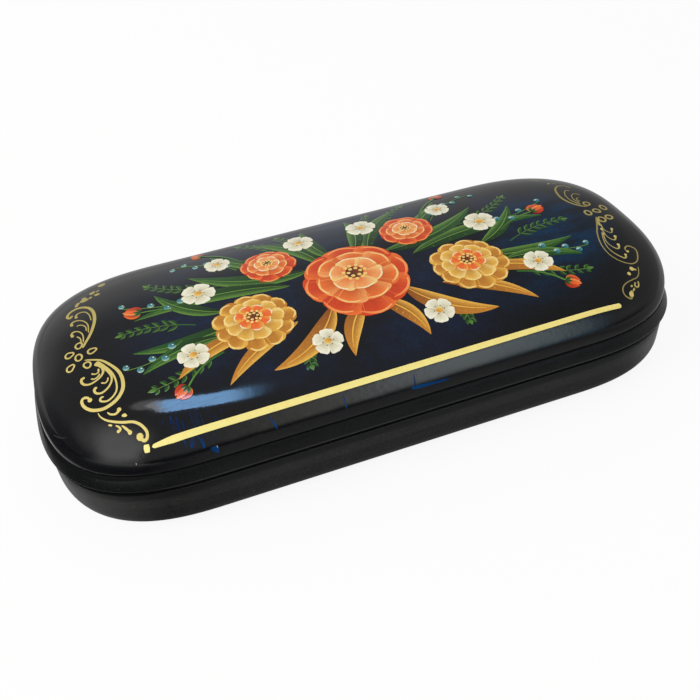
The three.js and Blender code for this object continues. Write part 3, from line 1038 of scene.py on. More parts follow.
class Coat:
    def __init__(self):
        self.places, self.lifts, self.colours, self.faces, self.count = [], [], [], [], 0
        self.flip = 1  # -1 paints the mirror image, left for right

    # A strip of paint: rows along the stroke, columns across it, closed underneath
    def strip(self, line, half, lift, colours):
        along = np.gradient(line, axis=0)
        along /= np.maximum(np.linalg.norm(along, axis=1, keepdims=True), 1e-9)
        leftward = np.column_stack([-along[:, 1], along[:, 0]])
        rows, across = colours.shape[0], colours.shape[1] - 1
        side = np.linspace(-1, 1, across + 1)
        grid = line[:, None, :] + leftward[:, None, :] * (half[:, None] * side)[:, :, None]
        relief = paint["relief"] * (1 - side ** 2) * np.minimum(half[:, None] / paint["fullRelief"], 1)
        under = np.full((rows, 2), -paint["sunk"])
        self.places.append(np.concatenate([grid, grid[:, [0, -1]]], axis=1).reshape(-1, 2))
        self.lifts.append(np.concatenate([lift + relief, under], axis=1).ravel())
        self.colours.append(np.concatenate([colours, colours[:, [0, -1]]], axis=1).reshape(-1, 3))
        loop = list(range(across + 1)) + [across + 2, across + 1]
        width = len(loop)
        for row in range(rows - 1):
            here, there = self.count + row * width, self.count + (row + 1) * width
            for a, b in zip(loop, loop[1:] + loop[:1]):
                self.faces.append((here + b, here + a, there + a, there + b))
        self.faces.append(tuple(self.count + a for a in loop))
        self.faces.append(tuple(self.count + (rows - 1) * width + a for a in reversed(loop)))
        self.count += rows * width

    # A brush stroke: its colour runs from its start to its end, with another along its left side
    def stroke(self, points, halfWidths, tones, layer, across=4, step=paint["step"]):
        line = smoothLine([(self.flip * x, y) for x, y in points], step)
        t = np.linspace(0, 1, len(line))
        first, last, aside = (np.array(tone, float) for tone in tones)
        body = (first + (last - first) * t[:, None])[:, None, :]
        edge = (np.clip(np.linspace(-1, 1, across + 1), 0, 1) ** 1.5)[None, :, None]
        colours = body * (1 - edge) + aside * edge
        half = np.maximum(halfWidths(t), paint["thinnest"])
        self.strip(line, half, layer * paint["layer"], colours)

    def dot(self, x, y, radius, tones, layer):
        points = [(x - radius, y), (x, y), (x + radius, y)]
        step = max(radius / 4, 0.06)
        self.stroke(points, lambda t: radius * roundEnds(t, 0.5), tones, layer, 4, step)

    def piece(self, name, finish):
        places = np.concatenate(self.places)
        points = onDome(places[:, 0], places[:, 1], np.concatenate(self.lifts))
        made = newPiece(name, points, self.faces, finish, "lid", paint["sharpDegrees"])
        layer = made.data.color_attributes.new("brushed", "FLOAT_COLOR", "POINT")
        rgba = np.column_stack([np.concatenate(self.colours), np.ones(self.count)])
        layer.data.foreach_set("color", rgba.astype(np.float32).ravel())


# Widths given at a stroke's start, middle and end
def taper(start, middle, end):
    def half(t):
        first = start + (middle - start) * np.sin(math.pi / 2 * np.minimum(t / 0.5, 1))
        second = middle + (end - middle) * (1 - np.cos(math.pi / 2 * np.maximum(t - 0.5, 0) / 0.5))
        return 0.5 * np.where(t < 0.5, first, second) * roundEnds(t, 0.04)
    return half


# Gold scrolls at the two ends, in mm: out from the case's middle, and back (+) or front (-).
# Each stroke has its points, its width at the start, in the middle and at the end, and where it is
# thin, a share of gold.

leftScroll = {
    "strokes": [
        # front plume, with its heavy outer line
        ([(65.4, -5.2), (64, -5.8), (62, -6.9), (60.5, -8.7), (59.1, -11.1), (58.5, -13), (58.4, -15),
          (58.8, -17), (60, -18.7), (61.5, -19.7), (63.5, -20.2), (65.5, -19.7), (66.8, -18.7),
          (67.5, -17.5), (67.6, -16.3), (67, -15.8), (66.2, -16.2), (66, -16.9)], 0.35, 0.85, 0.6),
        ([(63, -7), (61.5, -9.2), (60.3, -11.5), (59.8, -14), (60, -16.5), (61, -18), (62.5, -18.7),
          (63.8, -18.1), (63.6, -17.4), (62.9, -17.3)], 1.0, 0.42, 0.5),
        ([(62.6, -8), (61.3, -10), (60.5, -12.5), (60.8, -14.2), (61.8, -15.5), (63.2, -16.2),
          (64.3, -15.8), (64.6, -14.9), (64.2, -14.2)], 1.2, 0.45, 0.65),
        ([(61.2, -12.6), (61.5, -13.5), (62.1, -13.9), (62.9, -13.5)], 0.35, 0.35, 0.45),
        ([(63.4, -7.4), (62.2, -8.6), (61.9, -10), (62.3, -11.3), (63.5, -12.3), (65, -12.8),
          (66.2, -12.5), (66.8, -11.7), (66.8, -10.8), (66.4, -10.3)], 1.2, 0.46, 0.7),
        ([(62.8, -9.2), (63, -10.3), (63.8, -10.5), (64.5, -10)], 0.5, 0.36, 0.45),
        ([(62.7, -10.8), (63.4, -11.6), (64.2, -11.8), (64.8, -11.4)], 0.4, 0.36, 0.45),
        # back plume
        ([(65.3, -1), (64.6, 0.3), (63.3, 2.5), (62.3, 5), (61.6, 7.5), (61.4, 10), (61.6, 12),
          (62.3, 13.8), (63.5, 15), (65, 15.5), (66.4, 15.1), (67.3, 14.2), (67.6, 13), (67, 12.1),
          (66.5, 12.6)], 0.6, 0.85, 0.7),
        ([(62.3, 8.2), (62.5, 10.6), (63.2, 12.4), (64.2, 13), (65.2, 12.8), (65.6, 12), (65.5, 11)],
         0.3, 0.32, 0.8),
        ([(63.4, 3.8), (63.2, 6.6), (63.8, 8.5), (64.9, 9.7), (66.2, 10), (66.9, 9.3), (66.7, 8.3)],
         0.3, 0.32, 0.8),
        ([(63.8, 4.6), (63.8, 6.2), (64.4, 7.3), (65.2, 7.8), (65.8, 7.6)], 0.3, 0.32, 0.4),
        ([(64.9, 0.9), (64.7, 3), (65, 4.5), (65.8, 5.6), (66.8, 5.8), (67.2, 5), (66.9, 4)],
         0.3, 0.34, 0.85),
        ([(65.4, 1.1), (65.4, 2.4), (65.8, 3.3), (66.2, 3.7)], 0.3, 0.32, 0.4),
        # front spray down to the stripe
        ([(64.9, -20.6), (64.5, -21.8), (63.5, -23), (62, -24), (60.3, -24.8), (58.5, -25.4),
          (57.3, -26.3), (56.5, -27.5), (56.2, -28.5), (56.5, -29.5), (57.2, -29.7), (57.9, -28.9)],
         0.2, 0.6, 0.7),
        ([(63, -21.3), (62.5, -22), (61.5, -22.4), (60.7, -22), (60.4, -21.5)], 0.25, 0.5, 0.8),
        ([(60.3, -23.2), (59.2, -23.7)], 0.6, 0.7, 0.3),
        ([(63.4, -24.1), (62.6, -24.6)], 0.3, 0.45, 0.3),
        ([(62, -24.8), (61.4, -25.4), (61.2, -26), (61.7, -26.3)], 0.25, 0.45, 0.55),
        ([(60.8, -25.3), (60.2, -26.1), (59.7, -26.9), (59.3, -27.5)], 0.25, 0.55, 0.75),
        # back spray, in dabs
        ([(65.3, 16.4), (64.9, 17.6), (64.4, 18.4)], 0.6, 1.0, 0.8),
        ([(64.2, 18.2), (63.2, 18.5), (62, 18.5)], 1.0, 1.7, 0.6),
        ([(63.3, 20.2), (62.9, 18.9)], 0.9, 1.2, 0.7),
        ([(61.8, 18.4), (61.3, 19.3)], 0.5, 0.8, 0.5),
        ([(61.7, 21.4), (60.5, 21)], 0.9, 1.5, 1.0),
        ([(61.2, 20.5), (60.4, 22)], 0.7, 1.0, 0.6),
        ([(60.6, 19.3), (59.8, 19.5), (59.2, 19.7)], 0.8, 1.2, 0.8),
        ([(60, 20.9), (59.2, 22)], 0.35, 0.5, 0.35),
        ([(59.3, 24.2), (58.3, 24.8), (57.5, 25)], 1.0, 2.0, 1.0),
    ],
    # open drops: middle, half sizes, turn, tail length
    "drops": [
        (64.9, -7, 0.7, 0.95, 20, 0.3), (68.8, -6.2, 0.7, 0.9, 150, 0.7), (66.5, -3.7, 0.75, 1.05, 0, 0),
        (63.6, -3, 0.75, 0.8, 165, 0.7), (68.6, -1.8, 0.75, 0.9, 175, 0.6),
        (66.1, 0.2, 0.7, 0.95, 150, 0.3),
    ],
    "blobs": [
        (65.9, -16.9, 0.55), (66.6, 12.6, 0.42), (57.8, -28.8, 0.78), (60.5, -21.7, 0.5),
        (66.3, -10.5, 0.35), (64.2, -14.4, 0.35), (61.7, -26.2, 0.36), (59.5, -27.3, 0.48),
        (59.7, -23.4, 0.42),
    ],
    "side": -1,
    "strength": 0.76,
    "brush": 0.94,
    "dropLine": 0.42,  # mm
    "headShare": 1.0,  # gold of the blobs against the strokes
}
rightScroll = {
    "strokes": [
        # front plume
        ([(65.3, -2.9), (64, -5.2), (62.8, -7.2), (61.6, -9.2), (60.6, -11.6), (60, -14), (59.9, -16),
          (60.2, -17.8), (61.2, -19.6), (62.6, -20.8), (64.2, -21.3), (65.8, -20.7), (67, -19.2),
          (67.7, -17.6), (67.6, -16.6), (66.8, -15.8), (66, -15.7), (65.1, -16.3), (64.9, -17.2)],
         0.75, 0.4, 0.55, 0.7),
        ([(62.9, -9.2), (61.8, -11.6), (61.1, -14), (61.1, -15.8), (61.6, -17.4), (62.4, -18.6),
          (63.2, -19.3), (63.8, -18.9), (64, -18.2)], 0.3, 0.28, 0.7),
        ([(63.1, -9.6), (62.3, -11.4), (61.9, -13), (62.1, -14.4), (62.7, -15.6), (63.4, -16),
          (64, -15.4), (64.3, -14.4)], 0.5, 0.3, 0.95),
        ([(63.7, -7.6), (63.3, -9.6), (63.2, -11.2), (63.7, -12.5), (64.4, -12.9), (65, -12.2),
          (65.3, -11.4)], 0.7, 0.3, 0.95),
        ([(64.4, -6.2), (64, -8.2), (64.3, -9.4), (65.1, -10.2), (65.8, -9.3), (66.2, -8.4)],
         0.7, 0.3, 0.85),
        ([(65, -3.6), (64.4, -5.2), (63.9, -6.8)], 0.7, 1.1, 0.5),
        # back plume
        ([(66, 2.3), (64.9, 2.7), (64, 3.4), (62.8, 5), (62.1, 7), (61.9, 9), (62.2, 11), (62.8, 13),
          (63.8, 14.6), (65.2, 15.6), (66.6, 15.4), (67.5, 14.4), (67.6, 13.2)], 0.6, 0.8, 0.4),
        ([(64.8, 3.6), (63.7, 5.6), (63.4, 7.6), (63.7, 9.6), (64.6, 11.4), (65.6, 12.2), (66.3, 11.6)],
         0.7, 0.42, 0.5),
        ([(65, 4.6), (64.5, 6.4), (65, 8.6), (66.2, 9.6), (67.2, 9.2), (67.5, 8.4)], 0.6, 0.4, 0.5),
        ([(65.6, 5.2), (65.2, 6.2), (65.6, 7), (66.4, 7.1)], 0.45, 0.36, 0.4),
        # front spray down to the stripe
        ([(65.1, -22.3), (64.5, -23.5), (63.9, -24.4), (62.9, -25.2), (61.4, -25.6), (59.5, -26.1),
          (58.2, -26.8), (57.5, -27.6), (57.3, -28.6), (57.7, -29.4), (58.6, -29.8), (59.3, -29.3)],
         0.35, 0.36, 0.55, 0.6),
        ([(62.9, -22.6), (63.5, -22.9), (64.1, -23.2)], 1.2, 0.8, 0.4),
        ([(61.5, -23.4), (61.5, -24.4)], 0.9, 1.0, 0.6),
        ([(62.7, -26.1), (62.3, -27.1), (61.7, -27.5), (61.2, -27.1), (61.8, -26.3)], 0.5, 0.5, 0.5),
        ([(60.8, -27.6), (60.4, -28), (60, -28.3)], 0.45, 0.6, 0.35),
        ([(60.6, -26.9), (60, -27.3)], 0.5, 0.65, 0.35),
        ([(59.9, -28.2), (59.2, -28.8), (58.6, -29.4)], 0.6, 1.3, 0.7),
        # back spray, in broken touches
        ([(65.4, 17), (64.9, 18.6)], 0.25, 0.35, 0.25),
        ([(63.2, 20.8), (62, 22.2), (61, 23.4)], 0.25, 0.4, 0.25),
    ],
    "drops": [
        (66, -4.4, 0.8, 1.1, 0, 0.2), (68.5, -3.8, 0.85, 0.9, 20, 0.3), (64.3, -0.6, 0.8, 1.1, 0, 0.0),
        (67, -0.2, 0.9, 0.75, -60, 0.4), (69.9, 1.0, 0.8, 1.1, -15, 0.0), (66.5, 3.6, 0.8, 0.9, 0, 0.0),
    ],
    "blobs": [
        (65.2, -17.4, 0.5), (64, -18.3, 0.45), (64.2, -14.7, 0.55), (65.2, -11.7, 0.55),
        (66.1, -8.8, 0.5), (63.5, -8.2, 0.5), (62.9, -10, 0.4), (59.2, -28.9, 0.8), (63, -22.7, 0.8),
        (61.5, -23.9, 0.65), (63.8, 18.2, 0.6),
    ],
    "side": 1,
    "strength": 0.52,
    "brush": 0.71,
    "dropLine": 0.5,
    "headShare": 1.3,
}
# The gold thins out towards the back
scrollThin = {"from": -16.0, "to": 14.0, "share": (0.54, 0.53, 0.48), "warm": (1.06, 0.98, 0.84)}


def goldAt(back, strength):
    far = min(max((back - scrollThin["from"]) / (scrollThin["to"] - scrollThin["from"]), 0), 1)
    shares = [1 - far + far * thin for thin in scrollThin["share"]]
    return tuple(strength * share * warm for share, warm in zip(shares, scrollThin["warm"]))


def scrollEnd(coat, scroll):
    coat.flip = scroll["side"]
    strength, brush, half = scroll["strength"], scroll["brush"], scroll["dropLine"] / 2
    for points, start, middle, end, *thin in scroll["strokes"]:
        first, last = (goldAt(back, strength * math.prod(thin)) for _, back in (points[0], points[-1]))
        widths = taper(brush * start, brush * middle, brush * end)
        coat.stroke(points, widths, (first, last, last), 1, 4, 0.18)
    for out, back, halfOut, halfBack, turn, tail in scroll["drops"]:
        loop = []
        for step in range(25):
            angle = math.radians(turn + 15 * step)
            reach = 1 + tail * max(math.cos(angle - math.radians(turn)), 0) ** 6
            loop.append((out + halfOut * reach * math.cos(angle),
                         back + halfBack * reach * math.sin(angle)))
        coat.stroke(loop, lambda t: np.full_like(t, half), (goldAt(back, strength),) * 3, 1, 4, 0.12)
    for out, back, radius in scroll["blobs"]:
        coat.dot(out, back, brush * radius, (goldAt(back, strength * scroll["headShare"]),) * 3, 2)


def goldScrolls():
    coat = Coat()
    scrollEnd(coat, leftScroll)
    scrollEnd(coat, rightScroll)
    coat.piece("goldScrolls", goldPaint)


# Gold stripe along the front shoulder, in mm
stripe = {
    "points": [(-56.0, -31.2), (0, -31.0), (55.3, -30.8)],
    "width": 1.26,
    "swell": 0.08,  # share of its length over which it reaches its width
    "thinning": 0.24,  # towards the right
    "tones": ((1, 1, 1), (0.95, 0.89, 0.76), (1, 0.98, 0.95)),
    "dab": [(-57.72, -31.0), (-56.48, -31.2)],
    "dabHalf": 0.62,
}


def goldStripe():
    coat = Coat()
    half, swell, thinning = stripe["width"] / 2, stripe["swell"], stripe["thinning"]

    def band(t):
        return half * np.minimum(0.5 + t / swell, 1) * (1 - thinning * t ** 2) * roundEnds(t, 0.006)

    def dab(t):
        return stripe["dabHalf"] * roundEnds(t, 0.18)

    coat.stroke(stripe["points"], band, stripe["tones"], 1, 4, 0.25)
    coat.stroke(stripe["dab"], dab, (stripe["tones"][0],) * 3, 1, 4, 0.1)
    coat.piece("goldStripe", goldPaint)


goldScrolls()
goldStripe()
print("gold laid")


# Painted spray on the top: a bunch of folk flowers, the same to the left and the right

def tone(*levels):  # a paint as it looks, 0 to 255, turned to the linear scale
    return tuple((c / 255 / 12.92) if c < 10.3 else ((c / 255 + 0.055) / 1.055) ** 2.4 for c in levels)


pots = {
    "wine": tone(128, 26, 14), "red": tone(226, 76, 32), "orange": tone(250, 124, 54),
    "apricot": tone(255, 178, 104), "rust": tone(140, 74, 26), "ochre": tone(208, 140, 48),
    "yellow": tone(246, 192, 82), "straw": tone(255, 226, 146), "cream": tone(255, 252, 230),
    "shade": tone(196, 190, 150), "umber": tone(62, 34, 16), "forest": tone(20, 44, 18),
    "green": tone(44, 92, 36), "spring": tone(104, 148, 62), "sea": tone(22, 78, 92),
    "teal": tone(64, 146, 152), "mist": tone(176, 214, 206),
}
spray = {
    "seed": 11,
    # leaves: start, tip, bow, half width, paint
    "leaves": [
        ((6, 6), (20, 24), 2.5, 2.3, "green"), ((10, 5), (38, 15), -3.0, 2.5, "green"),
        ((16, 1), (53, 3), 3.0, 2.4, "green"), ((28, -6), (55, -8), -2.0, 2.1, "green"),
        ((24, -10), (47, -19), 2.5, 2.3, "fall"), ((9, -10), (27, -23.5), -3.0, 2.5, "fall"),
        ((2, -12), (9, -25.5), 1.5, 2.1, "fall"), ((3, 8), (6, 25), -1.5, 2.0, "green"),
        ((15, 10), (31, 23.5), -2.0, 2.0, "green"), ((33, -2), (47, 11), -2.0, 1.9, "green"),
        ((18, -12), (37, -24), 1.5, 1.9, "fall"), ((36, -10), (54, -15), 1.5, 1.8, "green"),
    ],
    # sprigs: start, tip, bow, pairs of leaflets
    "sprigs": [((12, 12), (24, 27), 2, 7), ((30, 8), (49, 17), -2, 8), ((40, -4), (58, -1), 1.5, 7),
               ((36, -13), (54, -20), -1.5, 7), ((4, 14), (13, 26.5), -1, 6),
               ((16, -16), (19, -26), 1, 5)],
    # berries: stem start, tip, bow, count
    "berries": [((26, 13), (41, 22), 2, 6), ((44, -8), (57, -12.5), -1.5, 5), ((38, 5), (55, 9), -1, 5)],
    "blooms": [(27, -8, 9.6, "marigold"), (18.5, 11.5, 6.8, "rose")],
    "blossoms": [(37, 7, 4.2), (8.5, 18.5, 4.0), (42.5, -13.5, 3.7), (13.5, -20, 3.6), (30, 18, 3.3)],
    "buds": [((40, 1), (51, 5.5), 3.2), ((36, -15), (45.5, -21.5), 2.8), ((24, 16), (32.5, 25.5), 2.6)],
    "middle": (0, -2.5, 13.5, "rose"),
}
leafPaints = {"green": ("forest", "green", "spring"), "fall": ("rust", "ochre", "yellow")}
# rings of petals: reach, count, half width, paints of root, tip and side, and of the rim
bloomRings = {
    "rose": [(1.0, 8, 0.42, ("wine", "red", "orange"), "apricot"),
             (0.74, 7, 0.34, ("wine", "orange", "apricot"), "straw"),
             (0.48, 6, 0.25, ("red", "apricot", "straw"), "cream")],
    "marigold": [(1.0, 11, 0.3, ("rust", "ochre", "yellow"), "straw"),
                 (0.72, 9, 0.25, ("rust", "yellow", "straw"), "straw"),
                 (0.45, 7, 0.18, ("red", "orange", "yellow"), "cream")],
}
# half widths of the finest lines and dots, in mm
finest = {"midrib": 0.16, "vein": 0.11, "leaflet": 0.5, "blossomVein": 0.07, "stamen": 0.16,
          "shine": 0.24, "budLine": 0.14, "scratch": 0.06}
hand = random.Random(spray["seed"])


def wobble(amount):
    return hand.uniform(-amount, amount)


def mixed(*names):
    return tuple(pots[name] for name in names)


def away(place, angle, reach):
    return place[0] + reach * math.cos(angle), place[1] + reach * math.sin(angle)


def heading(start, end):
    return math.atan2(end[1] - start[1], end[0] - start[0])


def bowed(start, end, bow, count=5):
    (x0, y0), (x1, y1) = start, end
    length = math.hypot(x1 - x0, y1 - y0)
    asideX, asideY = -(y1 - y0) / length, (x1 - x0) / length
    points = []
    for step in range(count):
        t = step / (count - 1)
        out = bow * 4 * t * (1 - t)
        points.append((x0 + (x1 - x0) * t + asideX * out, y0 + (y1 - y0) * t + asideY * out))
    return points


def pointed(width, fullest=0.8):  # widest past the start, with a fine tip
    return lambda t: width * np.sin(math.pi * t ** fullest) ** 0.85


def fine(width):
    return lambda t: width * (0.35 + 0.65 * np.sin(math.pi * t))


def thinned(start, less):
    return lambda t: start - less * t


def leaf(coat, start, end, bow, width, kind, layer):
    dark, body, light = mixed(*leafPaints[kind])
    spine = bowed(start, end, bow, 9)
    coat.stroke(spine, pointed(width), (dark, body, light), layer, 8)
    coat.stroke(spine[:8], fine(finest["midrib"]), (light,) * 3, layer + 2, 2)
    for index in range(2, 8):
        root = spine[index - 1]
        reach = 0.95 * width * math.sin(math.pi * (index / 9) ** 0.8)
        for side, ink in ((1, body), (-1, light)):
            tip = away(root, heading(root, spine[index]) + side * (0.8 + wobble(0.12)), reach)
            vein = bowed(root, tip, -0.12 * side * reach, 4)
            coat.stroke(vein, fine(finest["vein"]), (ink,) * 3, layer + 1, 2)


def sprig(coat, start, end, bow, pairs, layer):
    dark, body, light = mixed(*leafPaints["green"])
    spine = bowed(start, end, bow, pairs + 3)
    leaflet = pointed(finest["leaflet"])
    coat.stroke(spine, thinned(0.2, 0.12), (body, light, body), layer, 2)
    for index in range(2, pairs + 2):
        root = spine[index]
        size = 3.4 - 2.0 * index / (pairs + 2)
        for side in (1, -1):
            tip = away(root, heading(root, spine[index + 1]) + side * (0.75 + wobble(0.15)), size)
            coat.stroke(bowed(root, tip, 0.25 * side, 4), leaflet, (dark, body, light), layer + 1)
    coat.stroke(spine[-2:], leaflet, (body, light, light), layer + 1)


# One petal from the middle of a bloom, with its veins and a pale rim
def petal(coat, x, y, angle, reach, width, paints, rimPaint, layer):
    outX, outY = math.cos(angle), math.sin(angle)

    def place(along, across):
        return x + outX * along - outY * across, y + outY * along + outX * across

    sway = wobble(0.05) * reach
    spine = [place(0, 0), place(0.5 * reach, sway), place(reach, 0)]
    root, body, tip, rimTone = mixed(*paints, rimPaint)
    coat.stroke(spine, lambda t: 1.25 * width * t ** 0.7 * np.sqrt(1 - t ** 6),
                (root, body, tip), layer, 8)
    for share in (-0.6, -0.25, 0.15, 0.5):
        stations = (0.42, 0.62, 0.8, 0.92 - 0.1 * abs(share))
        vein = [place(t * reach, share * width * t ** 0.7 * 1.1) for t in stations]
        coat.stroke(vein, fine(0.05 + 0.012 * reach), (body, tip, tip), layer + 0.8, 2)
    edge = [place(reach * (0.97 - 0.2 * share * share), share * width * 0.9)
            for share in (-0.85, -0.5, -0.1, 0.3, 0.65)]
    coat.stroke(edge, fine(0.1 + 0.02 * reach), (tip, rimTone, rimTone), layer + 1.2)


def bloom(coat, x, y, radius, kind, layer):
    for level, (reach, count, width, paints, rimPaint) in enumerate(bloomRings[kind]):
        turn = wobble(0.4)
        for index in range(count):
            angle = turn + 2 * math.pi * index / count + wobble(0.06)
            size = radius * reach * (1 + wobble(0.05))
            petal(coat, x, y + 0.06 * level * radius, angle, size, radius * width, paints, rimPaint,
                  layer + 3 * level + 0.5 * (index % 2))
    heart, top = (x, y + 0.15 * radius), layer + 10
    coat.dot(*heart, 0.17 * radius, mixed("umber", "rust", "wine"), top)
    for reach, count in ((0.2, 11), (0.11, 6)):
        for index in range(count):
            angle = 2 * math.pi * index / count + wobble(0.1)
            coat.dot(*away(heart, angle, reach * radius), 0.032 * radius + 0.08,
                     mixed("yellow", "straw", "straw"), top + 1)


# A small cream blossom of five round petals
def blossom(coat, x, y, radius, layer):
    turn = wobble(0.6)
    for index in range(5):
        angle = turn + 2 * math.pi * index / 5
        spine = [away((x, y), angle, share * radius) for share in (0.1, 0.5, 1.0)]
        coat.stroke(spine, lambda t: 0.62 * radius * t ** 0.6 * np.sqrt(1 - t ** 5),
                    mixed("shade", "cream", "cream"), layer + 0.4 * (index % 2), 6)
        for aside in (-0.22, 0.0, 0.22):
            vein = [away((x, y), angle + aside, share * radius) for share in (0.3, 0.5, 0.68)]
            tones = mixed("ochre", "shade", "shade")
            coat.stroke(vein, fine(finest["blossomVein"]), tones, layer + 1, 2)
    coat.dot(x, y, 0.24 * radius, mixed("ochre", "yellow", "straw"), layer + 2)
    for index in range(6):
        place = away((x, y), 2 * math.pi * index / 6, 0.34 * radius)
        coat.dot(*place, finest["stamen"], mixed("rust", "rust", "rust"), layer + 3)


def berries(coat, start, end, bow, count, layer):
    spine = bowed(start, end, bow, count + 1)
    coat.stroke(spine, thinned(0.18, 0.1), mixed("green", "spring", "spring"), layer, 2)
    for index in range(1, count + 1):
        x, y = spine[index]
        x, y = x + wobble(0.3), y + (0.9 if index % 2 else -0.9)
        coat.dot(x, y, 1.0 - 0.05 * index, mixed("sea", "teal", "mist"), layer + 1)
        coat.dot(x - 0.28, y + 0.28, finest["shine"], mixed("mist", "cream", "cream"), layer + 2)


# A half-open bud on a stem: two side petals and a middle one over a green cup
def bud(coat, start, end, size, layer):
    def reach(turn, share):
        return away(end, heading(start, end) + turn, share * size)

    coat.stroke(bowed(start, end, 1.0), thinned(0.3, 0.1), mixed("green", "spring", "green"), layer, 2)
    for turn in (0.5, -0.5):
        coat.stroke([end, reach(1.5 * turn, 0.55), reach(0.45 * turn, 1.25)], pointed(0.32 * size, 0.9),
                    mixed("wine", "red", "orange"), layer + 1, 6)
    coat.stroke([end, reach(0, 0.6), reach(0, 1.35)], pointed(0.36 * size, 0.9),
                mixed("red", "orange", "apricot"), layer + 2, 6)
    coat.stroke([reach(0, 0.4), reach(0.06, 0.8), reach(0, 1.15)], fine(finest["budLine"]),
                mixed("apricot", "straw", "straw"), layer + 3, 2)
    for turn in (0.9, -0.9, 0.0):
        coat.stroke([end, reach(turn, 0.3), reach(0.7 * turn, 0.6)], pointed(0.15 * size),
                    mixed(*leafPaints["green"]), layer + 4)


def paintedSpray():
    leaves, blossoms, blooms = Coat(), Coat(), Coat()
    for side in (1, -1):
        leaves.flip = blossoms.flip = blooms.flip = side
        for item in spray["sprigs"]:
            sprig(leaves, *item, 1)
        for index, item in enumerate(spray["leaves"]):
            leaf(leaves, *item, 3 + 0.4 * index)
        for item in spray["berries"]:
            berries(blossoms, *item, 8)
        for item in spray["buds"]:
            bud(blossoms, *item, 9)
        for item in spray["blossoms"]:
            blossom(blossoms, *item, 12)
        for item in spray["blooms"]:
            bloom(blooms, *item, 10)
    blooms.flip = 1
    bloom(blooms, *spray["middle"], 13)
    leaves.piece("paintedLeaves", enamel)
    blossoms.piece("paintedBlossoms", enamel)
    blooms.piece("paintedBlooms", enamel)


paintedSpray()
print("spray painted")


# Runs of the blue ground past the stripe, and a few marks of use in the lacquer

runs = {
    "blue": (0.0, 0.048, 0.18),
    "deep": (0.003, 0.020, 0.085),
    # strokes: points, width and paint
    "strokes": [
        ([(-52.5, -27.2), (-52.7, -28.1)], 0.35, "deep"), ([(-51, -26.8), (-51, -28.5)], 0.6, "deep"),
        ([(-49.8, -27.3), (-49.8, -28.9), (-50, -30.1)], 0.55, "deep"),
        ([(-48.8, -28.3), (-48.7, -30.2)], 0.5, "deep"), ([(-42.1, -29.2), (-42, -30.3)], 0.35, "deep"),
        ([(-40.5, -28.4), (-40.5, -29.4)], 0.3, "deep"),
        ([(-49.3, -31.9), (-49.5, -32.4)], 0.45, "blue"), ([(-48, -32.2), (-48.4, -33.3)], 0.5, "blue"),
        ([(-46.5, -32), (-46, -33.1), (-45.9, -33.8)], 0.6, "blue"),
        ([(-44.8, -34.02), (-43.1, -34.12)], 0.55, "blue"),
        ([(-31.5, -32), (-30.7, -33.3), (-30.2, -34)], 0.4, "blue"),
        ([(-14.6, -32.3), (-14.7, -34.05)], 0.35, "blue"), ([(1.8, -32.3), (1.5, -34)], 0.4, "deep"),
        ([(9.7, -34.1), (4.8, -34.04), (0.5, -33.98)], 0.3, "blue"),
    ],
    "scratch": [(-75.2, -18.5), (-73.8, -20.5), (-72.2, -21.9)],
    "grey": (0.035, 0.035, 0.034),
    "white": (0.3, 0.3, 0.3),
    # specks and chips: place and radius
    "specks": [(-60.5, -14, 0.09), (-51, 10, 0.1), (-30, 22, 0.1),
               (-56, 6, 0.09), (12, 27, 0.1), (-70, -9, 0.1)],
    "chips": [(-43.3, -33.95, 0.12), (-60, -32.2, 0.1)],
    "layer": 0.5,
    "step": 0.15,
}


def lacquerMarks():
    coat = Coat()
    layer, step, grey, white = runs["layer"], runs["step"], (runs["grey"],) * 3, (runs["white"],) * 3
    for points, width, name in runs["strokes"]:
        def half(t):
            return width / 2 * (0.5 + 0.5 * t) * roundEnds(t, 0.2)

        coat.stroke(points, half, (runs["deep"], runs[name], runs[name]), layer, 4, step)
    coat.stroke(runs["scratch"], fine(finest["scratch"]), grey, layer, 2, step)
    for speck in runs["specks"]:
        coat.dot(*speck, grey, layer)
    for chip in runs["chips"]:
        coat.dot(*chip, white, 2 * layer)
    coat.piece("lacquerMarks", bluePaint)


lacquerMarks()
print("marks left")


# Stage: a white floor and white surroundings. The gloss mirrors a dim room instead, as it was when the
# photograph was taken: a grey mat, walls and a pane of sky that nothing else sees.

stageSet = {
    "floorRadius": 1.4,
    "floorWhite": (0.95, 0.95, 0.95),
    "white": (1, 1, 1),
    "glow": 0.9,  # share of plain white in the floor as seen
    "fill": (0.66, 0.66, 0.66),  # even light from all round
    "matRadius": 8.0,
    "matDrop": 0.00003,  # under the case, above the floor
    "roomRadius": 8.2,
}


def stageProp(name, shape, material, glossOnly=True):
    prop = solidOf(name, shape)
    prop.data.materials.append(material)
    if glossOnly:
        prop.visible_camera = prop.visible_diffuse = False
        prop.visible_shadow = prop.visible_transmission = False
    return prop


def disc(name, radius, drop, material, glossOnly=True):
    shape = bmesh.new()
    bmesh.ops.create_circle(shape, cap_ends=True, segments=96, radius=radius)
    stageProp(name, shape, material, glossOnly).location.z = -drop


def glowing(sheet, colour, strength=1.0):
    return sheet.make("Emission", {}, {"Color": colour, "Strength": strength})


# Rays that see the white background: the camera's, and those in gloss and glass
def showsBackground(sheet):
    names = ("Is Camera Ray", "Is Glossy Ray", "Is Transmission Ray")
    camera, glossy, through = (sheet.make("LightPath", {}, {}, name) for name in names)
    return camera.largest(glossy).largest(through)


def whiteFloor():
    material, sheet = newFinish("floorWhite")
    matt = sheet.make("BsdfDiffuse", {}, {"Color": stageSet["floorWhite"]})
    share = stageSet["glow"] * showsBackground(sheet)
    sockets = {0: share, 1: matt, 2: glowing(sheet, stageSet["white"])}
    sheet.make("MixShader", {}, sockets).into("OutputMaterial")
    disc("floor", stageSet["floorRadius"], 2 * stageSet["matDrop"], material, False)


